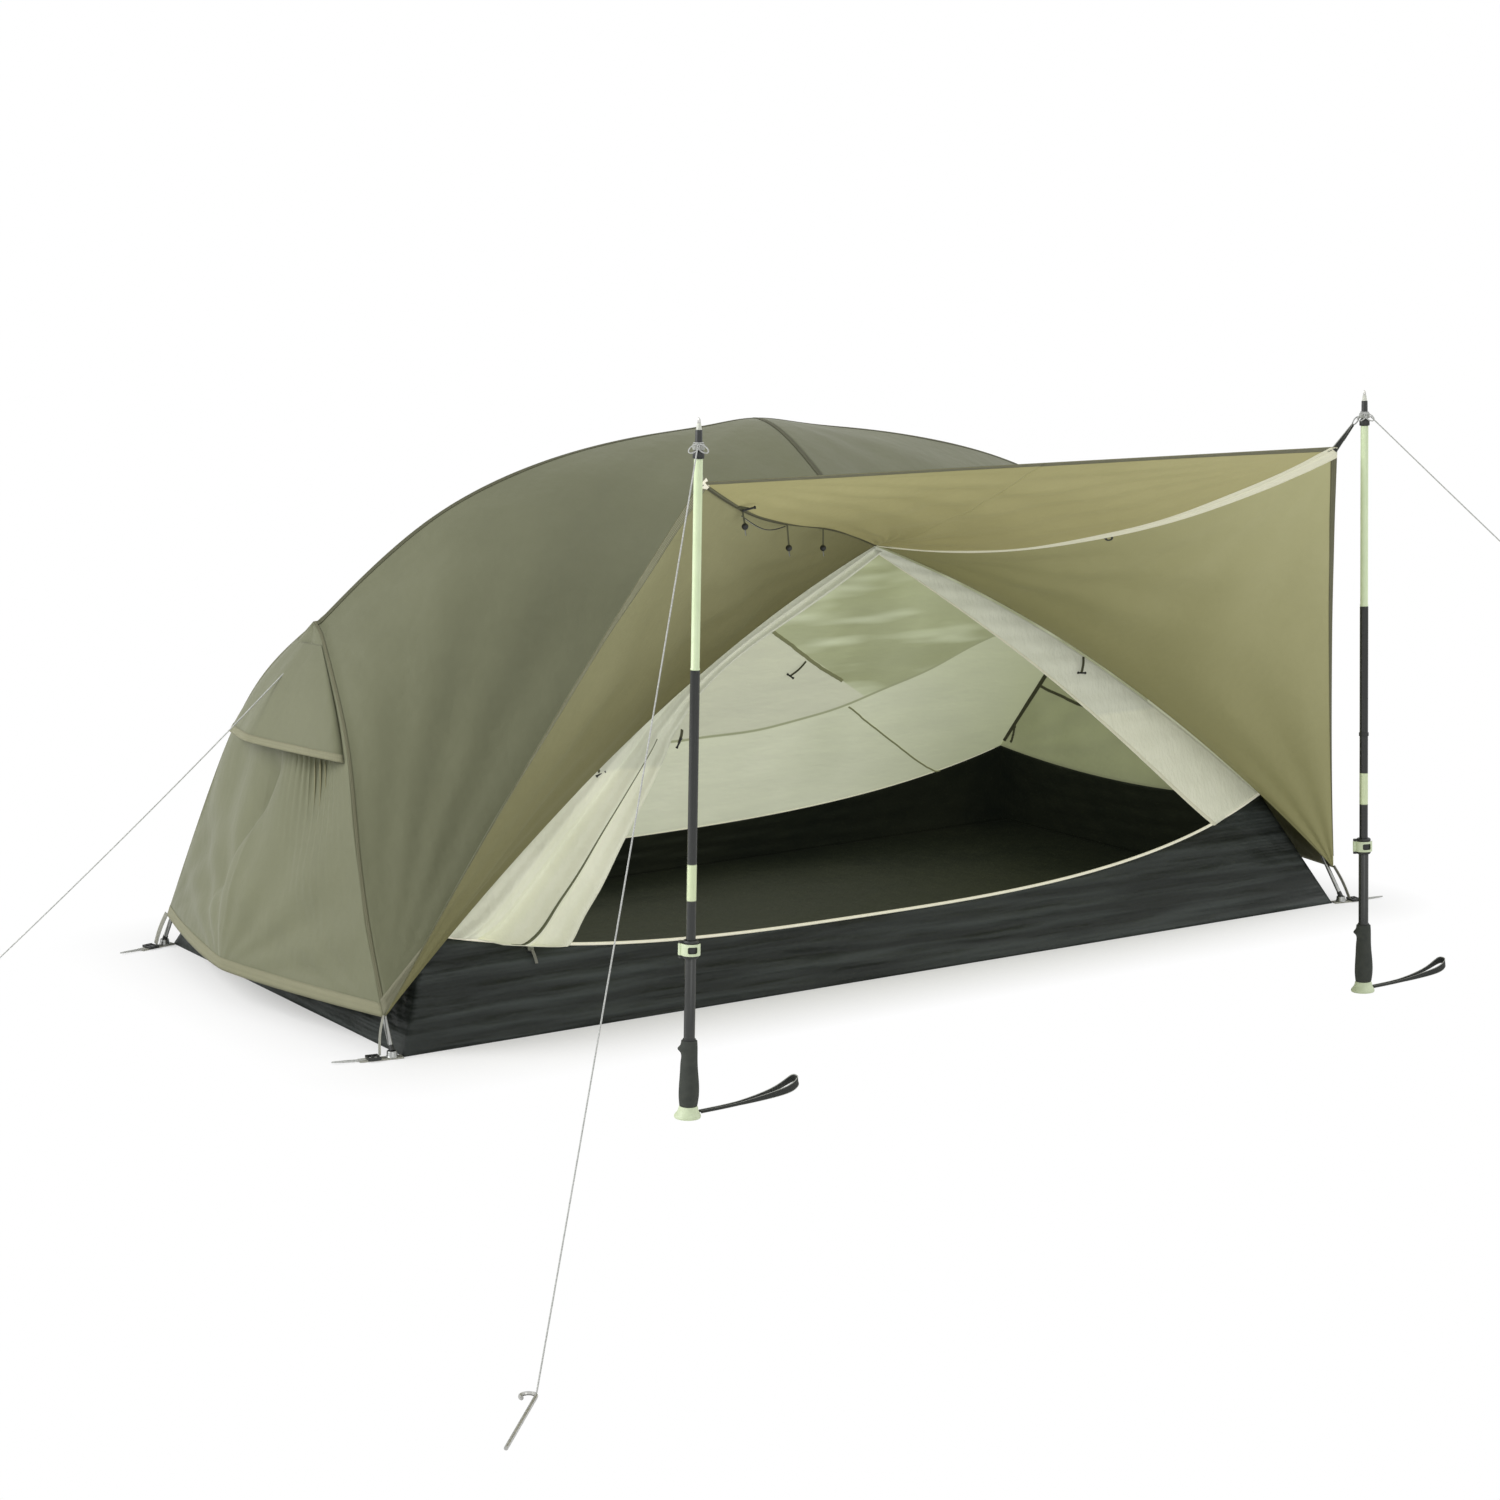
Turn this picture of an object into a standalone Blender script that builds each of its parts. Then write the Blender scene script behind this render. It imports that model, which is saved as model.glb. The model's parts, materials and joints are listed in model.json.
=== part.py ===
"""Backpacking tent, pitched, with its awning held up by two trekking poles.

Metres, +Z up. The origin is the middle of the floor's underside.
-X is the foot end, +X the head end, -Y the side with the door and the awning.
"""
import math

import bmesh
import bpy
import numpy as np
from mathutils import Matrix, Vector

# Floor and inner tent
FLOOR_LENGTH = 2.24
FOOT_WIDTH = 1.02
HEAD_WIDTH = 1.127
RIM_LOW = 0.112
RIM_LOW_X = -0.09
RIM_RISE = 0.0726
RIM_POWER = 2.8
REAR_RIM_LOW = 0.100
REAR_RIM_RISE = 0.066
END_RIM_SAG = 0.035
RIM_CHORD_GAP = 0.0004
RIM_STATIONS = 21
END_STATIONS = 9
TUB_WALL = 0.0015
TUB_SLOPE = 0.486
FABRIC = 0.0012
SEAM_GAP = 0.0003
CLIP_DROP = 0.045
INNER_SETBACK = 0.014
RIM_SEAT = np.array([0.0, 0.0, SEAM_GAP + FABRIC / 2])
DOOR_BUNCH_THICK = 0.014

# Pole frame
POLE_RADIUS = 0.0045
BROW_RADIUS = 0.0043
FOOT_HUB = (-1.02, 0.0, 0.705)
HEAD_HUB = (1.02, 0.0, 0.745)
RIDGE_SHOULDERS = ((-0.78, 0.885), (-0.45, 1.003), (-0.05, 1.040), (0.40, 1.000), (0.75, 0.900))
BROW_X = -0.02
BROW_RISE = 0.016
BROW_REACH = 0.405
BROW_END_Z = 0.838
BROW_SHOULDER = (0.20, 0.974)
LEG_OUT = 0.022
LEG_FOOT_IN = 0.005
LEG_HEAD_OUT = 0.0045
LEG_X = FLOOR_LENGTH / 2 + LEG_OUT
LEG_FOOT_Y = FOOT_WIDTH / 2 - LEG_FOOT_IN
LEG_HEAD_Y = HEAD_WIDTH / 2 + LEG_HEAD_OUT
LEG_END_Z = 0.0128
LEG_SHAPE = ((0.30, 0.28, 0.851), (0.475, 0.454, 0.709), (0.70, 0.62, 0.495), (0.885, 0.80, 0.255))
HUB_SLEEVE_RADIUS = 0.0075
HUB_BALL_RADIUS = 0.0092
HUB_SLEEVE_LENGTH = 0.045
HUB_SOCKET_DEPTH = 0.022
RIDGE_JOINT_X = 0.12

# Fly
FLY_STAND = 0.0105
BROW_STAND = 0.0038
SEAM_TRIM = 0.0008
CREASE_GAP = 0.0010
END_TRIM = 0.0002
RIDGE_OVERHANG = 0.010
HEM_HEIGHT = 0.065
FOOT_HEM_PULL = 0.095
HEAD_HEM_PULL = 0.075
REAR_HEM_Y = 0.64
CREASE_BOW = 0.08
HOOD_STAND = 0.045
PROP_LENGTH = 0.027
PROP_BALL_RADIUS = 0.0026

# Awning
AWNING_LEFT = (-0.858, -1.072, 1.045)
AWNING_RIGHT = (0.568, -1.074, 1.045)
ZIP_SAG = 0.055
HEM_BOW = 0.03
CENTRE_SAG = 0.02

# Trekking poles
LEFT_POLE_FOOT = (-0.900, -1.095, 0.0)
LEFT_POLE_TIP = (-0.874, -1.095, 1.150)
RIGHT_POLE_FOOT = (0.622, -1.140, 0.0)
RIGHT_POLE_TIP = (0.613, -1.095, 1.150)
CAP_HEIGHT = 0.020
CAP_RADIUS = 0.0225
GRIP_HEIGHT = 0.118
GRIP_RADIUS = 0.0165
HANDLE_TUBE_RADIUS = 0.0093
HANDLE_TUBE_WALL = 0.0009
LOCK_Z = 0.285
LOCK_HEIGHT = 0.030
LOCK_RADIUS = 0.0125
LEVER_HEIGHT = 0.020
LEVER_THICK = 0.0024
LEVER_PIN_RADIUS = 0.0016
LEVER_PIN_ANGLE = 150
LEVER_WRAP = 172
UPPER_TUBE_RADIUS = 0.0080
UPPER_OVERLAP = 0.135
LIME_START = 0.745
LIME_RADIUS = 0.0072
FERRULE_START = 1.085
FERRULE_RADIUS = 0.0060
SEAT_RING_RADIUS = 0.0095
TIP_LENGTH = 0.012
SLIDE_GAP = 0.0003
SLIDER_X = -0.88
SLIDER_RUN = 0.30
SLIDER_DROP = 0.007
SLIDER_DEPTH = 0.005

# Cords and ground gear
CORD_RADIUS = 0.0012
LEFT_STAKE = (-1.70, -1.98)
RIGHT_STAKE = (1.46, -1.98)
FOOT_STAKE = (-1.86, 0.0)
STAKE_LENGTH = 0.16
STAKE_RADIUS = 0.0028


def clear_scene():
    for item in list(bpy.data.objects):
        bpy.data.objects.remove(item, do_unlink=True)


def material(name, colour, roughness=0.6, metallic=0.0):
    """A plain finish, made once for each name."""
    found = bpy.data.materials.get(name)
    if found:
        return found
    made = bpy.data.materials.new(name)
    made.use_nodes = True
    shader = made.node_tree.nodes["Principled BSDF"]
    shader.inputs["Base Color"].default_value = (*colour, 1.0)
    shader.inputs["Roughness"].default_value = roughness
    shader.inputs["Metallic"].default_value = metallic
    return made


OLIVE = ("fly_olive", (0.15, 0.16, 0.10))
GOLD = ("fly_inner_gold", (0.31, 0.29, 0.15))
CREAM = ("inner_cream", (0.60, 0.61, 0.48))
TUB = ("tub_black", (0.04, 0.05, 0.048))
ALLOY = ("pole_alloy", (0.45, 0.46, 0.44), 0.35, 1.0)
PLASTIC = ("black_plastic", (0.03, 0.03, 0.03), 0.45)
WEBBING = ("webbing", (0.16, 0.16, 0.14), 0.8)
LIME = ("pole_lime", (0.70, 0.82, 0.50), 0.35)
TUBE = ("pole_dark", (0.03, 0.032, 0.03), 0.3)
FOAM = ("grip_foam", (0.06, 0.065, 0.06), 0.85)
CORD = ("guyline", (0.55, 0.55, 0.53), 0.7)


def new_object(name, bm, finish, smooth=True):
    """Turn a bmesh into a named object with its finish."""
    mesh = bpy.data.meshes.new(name)
    bmesh.ops.recalc_face_normals(bm, faces=bm.faces)
    bm.to_mesh(mesh)
    bm.free()
    if smooth:
        mesh.shade_smooth()
        mesh.set_sharp_from_angle(angle=math.radians(40))
    made = bpy.data.objects.new(name, mesh)
    made.data.materials.append(material(*finish))
    bpy.context.scene.collection.objects.link(made)
    return made


def unit(vector):
    return vector / np.linalg.norm(vector, axis=-1, keepdims=True)


def smooth_curve(points, count):
    """A natural cubic through the points, read at equal steps of chord length."""
    knots = np.asarray(points, float)
    steps = np.linalg.norm(np.diff(knots, axis=0), axis=1)
    at = np.concatenate([[0.0], np.cumsum(steps)])
    last = len(knots) - 1
    system = np.eye(last + 1)
    right = np.zeros_like(knots)
    for i in range(1, last):
        system[i, i - 1:i + 2] = steps[i - 1], 2 * (steps[i - 1] + steps[i]), steps[i]
        slope_after = (knots[i + 1] - knots[i]) / steps[i]
        slope_before = (knots[i] - knots[i - 1]) / steps[i - 1]
        right[i] = 6 * (slope_after - slope_before)
    bend = np.linalg.solve(system, right)
    wanted = np.linspace(0.0, at[-1], count)
    cell = np.clip(np.searchsorted(at, wanted, side="right") - 1, 0, last - 1)
    h = steps[cell][:, None]
    a = (at[cell + 1] - wanted)[:, None] / h
    b = 1.0 - a
    curved = ((a ** 3 - a) * bend[cell] + (b ** 3 - b) * bend[cell + 1]) * h ** 2 / 6
    return a * knots[cell] + b * knots[cell + 1] + curved


def resample(curve, count):
    """The same curve with equally spaced points."""
    steps = np.linalg.norm(np.diff(curve, axis=0), axis=1)
    at = np.concatenate([[0.0], np.cumsum(steps)])
    wanted = np.linspace(0.0, at[-1], count)
    return np.stack([np.interp(wanted, at, curve[:, k]) for k in range(3)], axis=1)


def straight(start, end, count):
    t = np.linspace(0.0, 1.0, count)[:, None]
    return (1 - t) * np.asarray(start, float) + t * np.asarray(end, float)


def coons(top, bottom, left, right):
    """Sheet through four edges. top and bottom run left to right, left and right run down."""
    u = np.linspace(0.0, 1.0, len(top))[None, :, None]
    v = np.linspace(0.0, 1.0, len(left))[:, None, None]
    across = (1 - v) * top[None] + v * bottom[None]
    down = (1 - u) * left[:, None] + u * right[:, None]
    corners = ((1 - u) * (1 - v) * top[0] + u * (1 - v) * top[-1]
               + (1 - u) * v * bottom[0] + u * v * bottom[-1])
    return across + down - corners


def trimmed(grid, top=0.0, bottom=0.0, left=0.0, right=0.0):
    """Pull the edges of a sheet inwards, which leaves the seam gap."""
    out = grid.copy()
    for amount, edge, inner in ((top, 0, 1), (bottom, -1, -2)):
        if amount:
            span = grid[inner] - grid[edge]
            length = np.linalg.norm(span, axis=1, keepdims=True)
            out[edge] = grid[edge] + span / np.maximum(length, 1e-9) * np.minimum(amount, length * 0.45)
    base = out.copy()
    for amount, edge, inner in ((left, 0, 1), (right, -1, -2)):
        if amount:
            span = base[:, inner] - base[:, edge]
            length = np.linalg.norm(span, axis=1, keepdims=True)
            out[:, edge] = base[:, edge] + span / np.maximum(length, 1e-9) * np.minimum(amount, length * 0.45)
    return out


def panel(name, grid, finish, thick=FABRIC):
    """One cut piece of cloth: a sheet of quads with a wall."""
    rows, columns = grid.shape[:2]
    bm = bmesh.new()
    verts = [bm.verts.new(point) for point in grid.reshape(-1, 3)]
    for i in range(rows - 1):
        for j in range(columns - 1):
            corner = i * columns + j
            bm.faces.new((verts[corner], verts[corner + 1],
                          verts[corner + columns + 1], verts[corner + columns]))
    bmesh.ops.remove_doubles(bm, verts=bm.verts, dist=1e-5)
    bmesh.ops.dissolve_degenerate(bm, edges=bm.edges, dist=1e-6)
    made = new_object(name, bm, finish)
    wall = made.modifiers.new("wall", "SOLIDIFY")
    wall.thickness = thick
    wall.offset = 0.0
    return made


def tube(name, centre_line, radius, finish, sides=8):
    """Round bar along a centre line, with flat ends."""
    path = np.asarray(centre_line, float)
    tangent = unit(np.gradient(path, axis=0))
    side = np.cross(tangent[0], (0.0, 0.0, 1.0))
    if np.linalg.norm(side) < 0.1:
        side = np.cross(tangent[0], (0.0, 1.0, 0.0))
    side = side / np.linalg.norm(side)
    angles = np.linspace(0, 2 * math.pi, sides, endpoint=False)
    bm = bmesh.new()
    rings = []
    for point, along in zip(path, tangent):
        side = side - along * float(np.dot(side, along))
        side = side / np.linalg.norm(side)
        other = np.cross(along, side)
        ring = [bm.verts.new(point + radius * (math.cos(a) * side + math.sin(a) * other)) for a in angles]
        rings.append(ring)
    for first, second in zip(rings, rings[1:]):
        for k in range(sides):
            n = (k + 1) % sides
            bm.faces.new((first[k], first[n], second[n], second[k]))
    bm.faces.new(rings[0][::-1])
    bm.faces.new(rings[-1])
    return new_object(name, bm, finish)


def upright(start, end):
    """A frame at start with Z towards end and X as near to the world's X as it can be."""
    z = (Vector(end) - Vector(start)).normalized()
    guide = Vector((1, 0, 0)) if abs(z.x) < 0.9 else Vector((0, 1, 0))
    y = z.cross(guide).normalized()
    x = y.cross(z)
    turn = Matrix((x, y, z)).transposed().to_4x4()
    return Matrix.Translation(Vector(start)) @ turn


def turned(name, profile, finish, start=(0, 0, 0), end=(0, 0, 1), sides=14):
    """Turn a closed profile of (radius, height) points about the line from start to end."""
    place = upright(start, end)
    bm = bmesh.new()
    columns = []
    for k in range(sides):
        angle = 2 * math.pi * k / sides
        columns.append([bm.verts.new(place @ Vector((r * math.cos(angle), r * math.sin(angle), h)))
                        for r, h in profile])
    count = len(profile)
    for k in range(sides):
        here, following = columns[k], columns[(k + 1) % sides]
        for i in range(count):
            n = (i + 1) % count
            if profile[i][0] < 1e-9 and profile[n][0] < 1e-9:
                continue
            bm.faces.new((here[i], here[n], following[n], following[i]))
    bmesh.ops.remove_doubles(bm, verts=bm.verts, dist=1e-6)
    return new_object(name, bm, finish)


def extruded(name, outline, depth, finish, place=Matrix.Identity(4), holes=()):
    """Extrude a flat outline in X and Y through depth along Z, then place it."""
    bm = bmesh.new()
    loops = []
    for points in (outline, *holes):
        loop = [bm.verts.new((x, y, 0.0)) for x, y in points]
        for k, vert in enumerate(loop):
            bm.edges.new((vert, loop[(k + 1) % len(loop)]))
        loops.append(loop)
    bmesh.ops.triangle_fill(bm, use_beauty=True, use_dissolve=False, edges=bm.edges)
    pushed = bmesh.ops.extrude_face_region(bm, geom=list(bm.faces))
    moved = [item for item in pushed["geom"] if isinstance(item, bmesh.types.BMVert)]
    bmesh.ops.translate(bm, verts=moved, vec=(0.0, 0.0, depth))
    bmesh.ops.transform(bm, matrix=place, verts=bm.verts)
    return new_object(name, bm, finish)


def arc(centre, radius, start, end, count):
    """Points on a circle's arc, angles in degrees."""
    angles = np.radians(np.linspace(start, end, count))
    return [(centre[0] + radius * math.cos(a), centre[1] + radius * math.sin(a)) for a in angles]


def join_with(target, tool, operation):
    """Add or cut with another object, which then stays hidden."""
    change = target.modifiers.new(operation.lower(), "BOOLEAN")
    change.operation = operation
    change.solver = "EXACT"
    change.object = tool
    tool.hide_render = True
    tool.display_type = "WIRE"


# Centre lines of the frame, and the seams that the fly takes from them

def ridge_line(count=61):
    points = [FOOT_HUB, *((x, 0.0, z) for x, z in RIDGE_SHOULDERS), HEAD_HUB]
    return smooth_curve(points, count)


def ridge_height(x):
    line = ridge_line(121)
    return np.interp(x, line[:, 0], line[:, 2])


def leg_line(end, side, count=25):
    """A leg from its hub to the floor corner. end is -1 at the foot, side is -1 at the front."""
    hub = np.array(FOOT_HUB if end < 0 else HEAD_HUB)
    reach = LEG_FOOT_Y if end < 0 else LEG_HEAD_Y
    points = [hub]
    for out, across, up in (*LEG_SHAPE, (1.0, 1.0, LEG_END_Z / hub[2])):
        x = hub[0] + (end * LEG_X - hub[0]) * out
        points.append((x, side * reach * across, hub[2] * up))
    return smooth_curve(points, count)


def brow_line(count=41):
    """The short cross pole, over the ridge from front to back."""
    top = float(ridge_height(BROW_X)) + BROW_RISE
    y, z = BROW_SHOULDER
    points = [(BROW_X, -BROW_REACH, BROW_END_Z), (BROW_X, -y, z), (BROW_X, 0.0, top),
              (BROW_X, y, z), (BROW_X, BROW_REACH, BROW_END_Z)]
    return smooth_curve(points, count)


def fly_ridge(x):
    """The fly's ridge seam, lifted where it rests on the brow pole."""
    top = BROW_RISE + BROW_RADIUS + FABRIC / 2 + BROW_STAND
    lift = (top - FLY_STAND) * np.exp(-((x - BROW_X) / 0.11) ** 2)
    return np.stack([x, np.zeros_like(x), ridge_height(x) + FLY_STAND + lift], axis=1)


def leg_seam(end, side, count):
    """The fly's seam over a leg, from the ridge end down to the hem."""
    line = leg_line(end, side, 60)
    outward = unit(np.array([end * 0.55, side * 0.62, 0.56]))
    seam = line + outward * FLY_STAND
    above = seam[seam[:, 2] > HEM_HEIGHT]
    ridge_end = fly_ridge(np.array([line[0, 0]]))[0] + np.array([end * RIDGE_OVERHANG, 0.0, 0.0])
    curve = np.vstack([ridge_end, above[2:]])
    return resample(curve, count)


def brow_seam(side, count):
    """The seam over the brow pole, from the ridge to the pole's end."""
    line = brow_line(61)
    half = line[:31][::-1] if side < 0 else line[30:]
    slope = unit(np.gradient(half, axis=0))
    outward = np.stack([np.zeros(31), side * np.abs(slope[:, 2]), np.abs(slope[:, 1])], axis=1)
    seam = half + outward * (BROW_RADIUS + FABRIC / 2 + BROW_STAND)
    seam[0] = fly_ridge(np.array([BROW_X]))[0]
    tip = seam[-1] + slope[-1] * 0.012
    return resample(np.vstack([seam, tip]), count)


def crease(end, count):
    """The front edge of the body, from the hem corner up to the brow pole's end."""
    low = leg_seam(end, -1, 30)[-1]
    high = brow_seam(-1, 30)[-1]
    t = np.linspace(0.0, 1.0, count)
    line = straight(low, high, count)
    line[:, 2] += CREASE_BOW * 4 * t * (1 - t)
    return line


def end_hem(end, count):
    """Hem of an end panel, drawn out in its middle by the guy point."""
    front = leg_seam(end, -1, 30)[-1]
    back = leg_seam(end, 1, 30)[-1]
    pull = FOOT_HEM_PULL if end < 0 else HEAD_HEM_PULL
    t = np.linspace(0.0, 1.0, count)
    line = straight(front, back, count)
    line[:, 0] += end * pull * (1 - np.abs(2 * t - 1) ** 1.35)
    return line


def end_sheet(end, rows=12, columns=11):
    """An end panel between its two leg seams."""
    top = np.repeat(leg_seam(end, -1, 3)[:1], columns, axis=0)
    return coons(top, end_hem(end, columns), leg_seam(end, -1, rows), leg_seam(end, 1, rows))


def body_sheet(end, side, rows=12, columns=13):
    """A body panel: ridge on top, leg seam at one side, brow seam at the other."""
    hub_x = (FOOT_HUB if end < 0 else HEAD_HUB)[0] + end * RIDGE_OVERHANG
    top = fly_ridge(np.linspace(hub_x, BROW_X, columns))
    outer = leg_seam(end, side, rows)
    if side < 0:
        inner = brow_seam(side, rows)
        bottom = crease(end, columns)
    else:
        brow = brow_seam(side, rows - 5)
        hem = (BROW_X, REAR_HEM_Y, HEM_HEIGHT)
        inner = np.vstack([brow, straight(brow[-1], hem, 6)[1:]])
        bottom = straight(outer[-1], hem, columns)
    top[0] = outer[0]
    return coons(top, bottom, outer, inner)


def awning_zip(end, count):
    """Curved front seam from the brow end out to an awning corner."""
    start = brow_seam(-1, 30)[-1] + np.array([0.0, -CREASE_GAP, 0.0])
    corner = np.array(AWNING_LEFT if end < 0 else AWNING_RIGHT)
    t = np.linspace(0.0, 1.0, count)
    line = straight(start, corner, count)
    line[:, 2] -= ZIP_SAG * 4 * t * (1 - t) * (1.0 if end > 0 else 0.45)
    return line


def awning_wing(end, rows=11, columns=9):
    """A triangular side of the awning: hem corner, brow end, awning corner."""
    low = leg_seam(end, -1, 30)[-1] + np.array([0.0, -CREASE_GAP, 0.0])
    corner = np.array(AWNING_LEFT if end < 0 else AWNING_RIGHT)
    inner = crease(end, rows) + np.array([0.0, -CREASE_GAP, 0.0])
    t = np.linspace(0.0, 1.0, rows)
    outer = straight(low, corner, rows)
    outer += np.array([-end * 0.7, 0.4, 0.6]) * (HEM_BOW * 4 * t * (1 - t))[:, None]
    start = np.repeat(low[None], columns, axis=0)
    return coons(start, awning_zip(end, columns), inner, outer)


def awning_middle():
    left, right = np.array(AWNING_LEFT), np.array(AWNING_RIGHT)
    return (left + right) / 2


def awning_ceiling(end, rows=9, columns=7):
    """Half of the awning's roof, from its centre line out to one corner."""
    start = brow_seam(-1, 30)[-1] + np.array([0.0, -CREASE_GAP, 0.0])
    t = np.linspace(0.0, 1.0, rows)
    centre = straight(start, awning_middle(), rows)
    centre[:, 2] -= CENTRE_SAG * 4 * t * (1 - t)
    outer = awning_zip(end, rows)
    hem = straight(awning_middle(), AWNING_LEFT if end < 0 else AWNING_RIGHT, columns)
    point = np.repeat(start[None], columns, axis=0)
    return coons(point, hem, centre, outer)


# Inner tent

def half_width(x):
    share = x / FLOOR_LENGTH + 0.5
    return (FOOT_WIDTH + (HEAD_WIDTH - FOOT_WIDTH) * share) / 2


def rim_height(x, side):
    """Height of the tub's rim, which the inner tent draws up towards the corners."""
    if side < 0:
        return RIM_LOW + RIM_RISE * np.abs(x - RIM_LOW_X) ** RIM_POWER
    return REAR_RIM_LOW + REAR_RIM_RISE * np.abs(x - RIM_LOW_X) ** RIM_POWER


def wall_point(x, y, z):
    """A point of the floor's edge, raised to a height on the leaning wall."""
    lean = TUB_SLOPE * z
    return np.stack([x - lean * x / (FLOOR_LENGTH / 2), y - lean * y / half_width(x), z + 0 * x], axis=-1)


def long_rim(side):
    x = np.linspace(-FLOOR_LENGTH / 2, FLOOR_LENGTH / 2, RIM_STATIONS)
    return wall_point(x, side * half_width(x), rim_height(x, side))


def end_rim(end):
    """The rim across an end, from front to rear, sagging between its corners."""
    s = np.linspace(-1.0, 1.0, END_STATIONS)
    x = end * FLOOR_LENGTH / 2 + 0 * s
    front, rear = rim_height(x, -1), rim_height(x, 1)
    high = (front * (1 - s) + rear * (1 + s)) / 2 - END_RIM_SAG * (1 - s ** 2)
    return wall_point(x, s * half_width(x), high)


def tub_corner(end, side, z=None):
    """A corner of the tub at a height, or of its rim."""
    x = np.array(end * FLOOR_LENGTH / 2)
    return wall_point(x, side * half_width(x), rim_height(x, side) if z is None else np.array(z))


def inner_ridge(count):
    x = np.linspace(FOOT_HUB[0] + 0.03, HEAD_HUB[0] - 0.03, count)
    return np.stack([x, np.zeros(count), ridge_height(x) - CLIP_DROP], axis=1)


def inner_front_edge(count):
    """From the foot corner of the tub, up to the brow end, down to the head corner."""
    sides = []
    for end in (-1, 1):
        line = crease(end, 40)
        base = tub_corner(end, -1) + RIM_SEAT
        t = np.linspace(0.0, 1.0, 40)
        shift = np.array([0.0, INNER_SETBACK, -INNER_SETBACK])
        top = line[-1] + np.array([0.0, 0.035, -0.030])
        run = straight(base, top, 40)
        run[:, 2] += (CREASE_BOW - 0.02) * 4 * t * (1 - t)
        run += shift * (np.sin(np.pi * t) ** 0.5)[:, None] * 0.4
        sides.append(run)
    half = count // 2 + 1
    left = resample(sides[0], half)
    right = resample(sides[1], half)[::-1]
    return np.vstack([left, right[1:]])


def inner_opening_edge(count):
    """The zipped edge of the doorway, inside the front edge."""
    outer = inner_front_edge(count)
    apex = count // 2
    t = np.concatenate([np.linspace(0, 1, apex + 1), np.linspace(1, 0, apex + 1)[1:]])
    wide = np.where(np.arange(count) > apex, 0.155, 0.02)
    inner = outer.copy()
    inner[:, 0] += np.where(np.arange(count) > apex, -1.0, 1.0) * wide * (1 - t ** 3)
    inner[:, 2] -= 0.030 * t ** 3
    rim = long_rim(-1)
    corner_z = np.where(np.arange(count) > apex, rim[-1, 2], rim[0, 2])
    sink = np.interp(inner[:, 0], rim[:, 0], rim[:, 2]) - corner_z
    inner[:, 2] += (sink + RIM_CHORD_GAP) * (1 - t) ** 4
    inner[:, 1] += TUB_SLOPE * sink * (1 - t) ** 4
    return inner


def strap(name, corner_end, corner_side):
    """Webbing from a floor corner out to the socket that takes the leg's tip."""
    foot = leg_line(corner_end, corner_side)[-1]
    corner = tub_corner(corner_end, corner_side, 0.0)
    out = np.array([foot[0], foot[1], 0.0]) - np.array([corner[0], corner[1], 0.0])
    reach = float(np.linalg.norm(out[:2]))
    heading = math.atan2(out[1], out[0])
    start = 0.0026
    width = 0.010
    outline = [(start, -width), *arc((reach + 0.055, 0.0), width, -90, 90, 7), (start, width)]
    place = Matrix.Translation((corner[0], corner[1], 0.0)) @ Matrix.Rotation(heading, 4, "Z")
    made = extruded(name, outline, 0.0024, WEBBING, place)
    socket = POLE_RADIUS + 0.0028
    seat = LEG_END_Z - 0.0036
    cup = turned(name + "_cup", [(0, 0.001), (0.0105, 0.001), (0.0105, 0.0130), (0.0095, 0.0140),
                                 (socket, 0.0140), (socket, seat), (0, seat)],
                 ALLOY, (foot[0], foot[1], 0.0), (foot[0], foot[1], 1.0), 16)
    join_with(made, cup, "UNION")
    bar = extruded(name + "_buckle", [(reach + 0.022, -0.013), (reach + 0.046, -0.013),
                                      (reach + 0.046, 0.013), (reach + 0.022, 0.013)], 0.0065, PLASTIC, place)
    join_with(made, bar, "UNION")
    return made


def tub():
    """One waterproof tray: floor and four low walls with a sagging rim."""
    bm = bmesh.new()
    top = np.vstack([long_rim(-1)[:-1], end_rim(1)[:-1], long_rim(1)[::-1][:-1], end_rim(-1)[::-1][:-1]])
    x, y = top[:, 0], top[:, 1]
    grow = 1 / (1 - TUB_SLOPE * top[:, 2] / (FLOOR_LENGTH / 2))
    edge_x = x * grow
    edge_y = y / (1 - TUB_SLOPE * top[:, 2] / half_width(edge_x))

    def ring(height, inset):
        flat = wall_point(edge_x, edge_y, height)
        flat[:, 0] -= inset * edge_x / (FLOOR_LENGTH / 2)
        flat[:, 1] -= inset * edge_y / half_width(edge_x)
        return [bm.verts.new(point) for point in flat]

    low, high = ring(0 * x, 0.0), ring(top[:, 2], 0.0)
    inner_high, inner_low = ring(top[:, 2], TUB_WALL), ring(0 * x + TUB_WALL, TUB_WALL)
    bm.faces.new(low[::-1])
    for first, second in ((low, high), (high, inner_high), (inner_high, inner_low)):
        for k in range(len(low)):
            n = (k + 1) % len(low)
            bm.faces.new((first[k], first[n], second[n], second[k]))
    bm.faces.new(inner_low)
    return new_object("tub_floor", bm, TUB, smooth=False)


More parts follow.
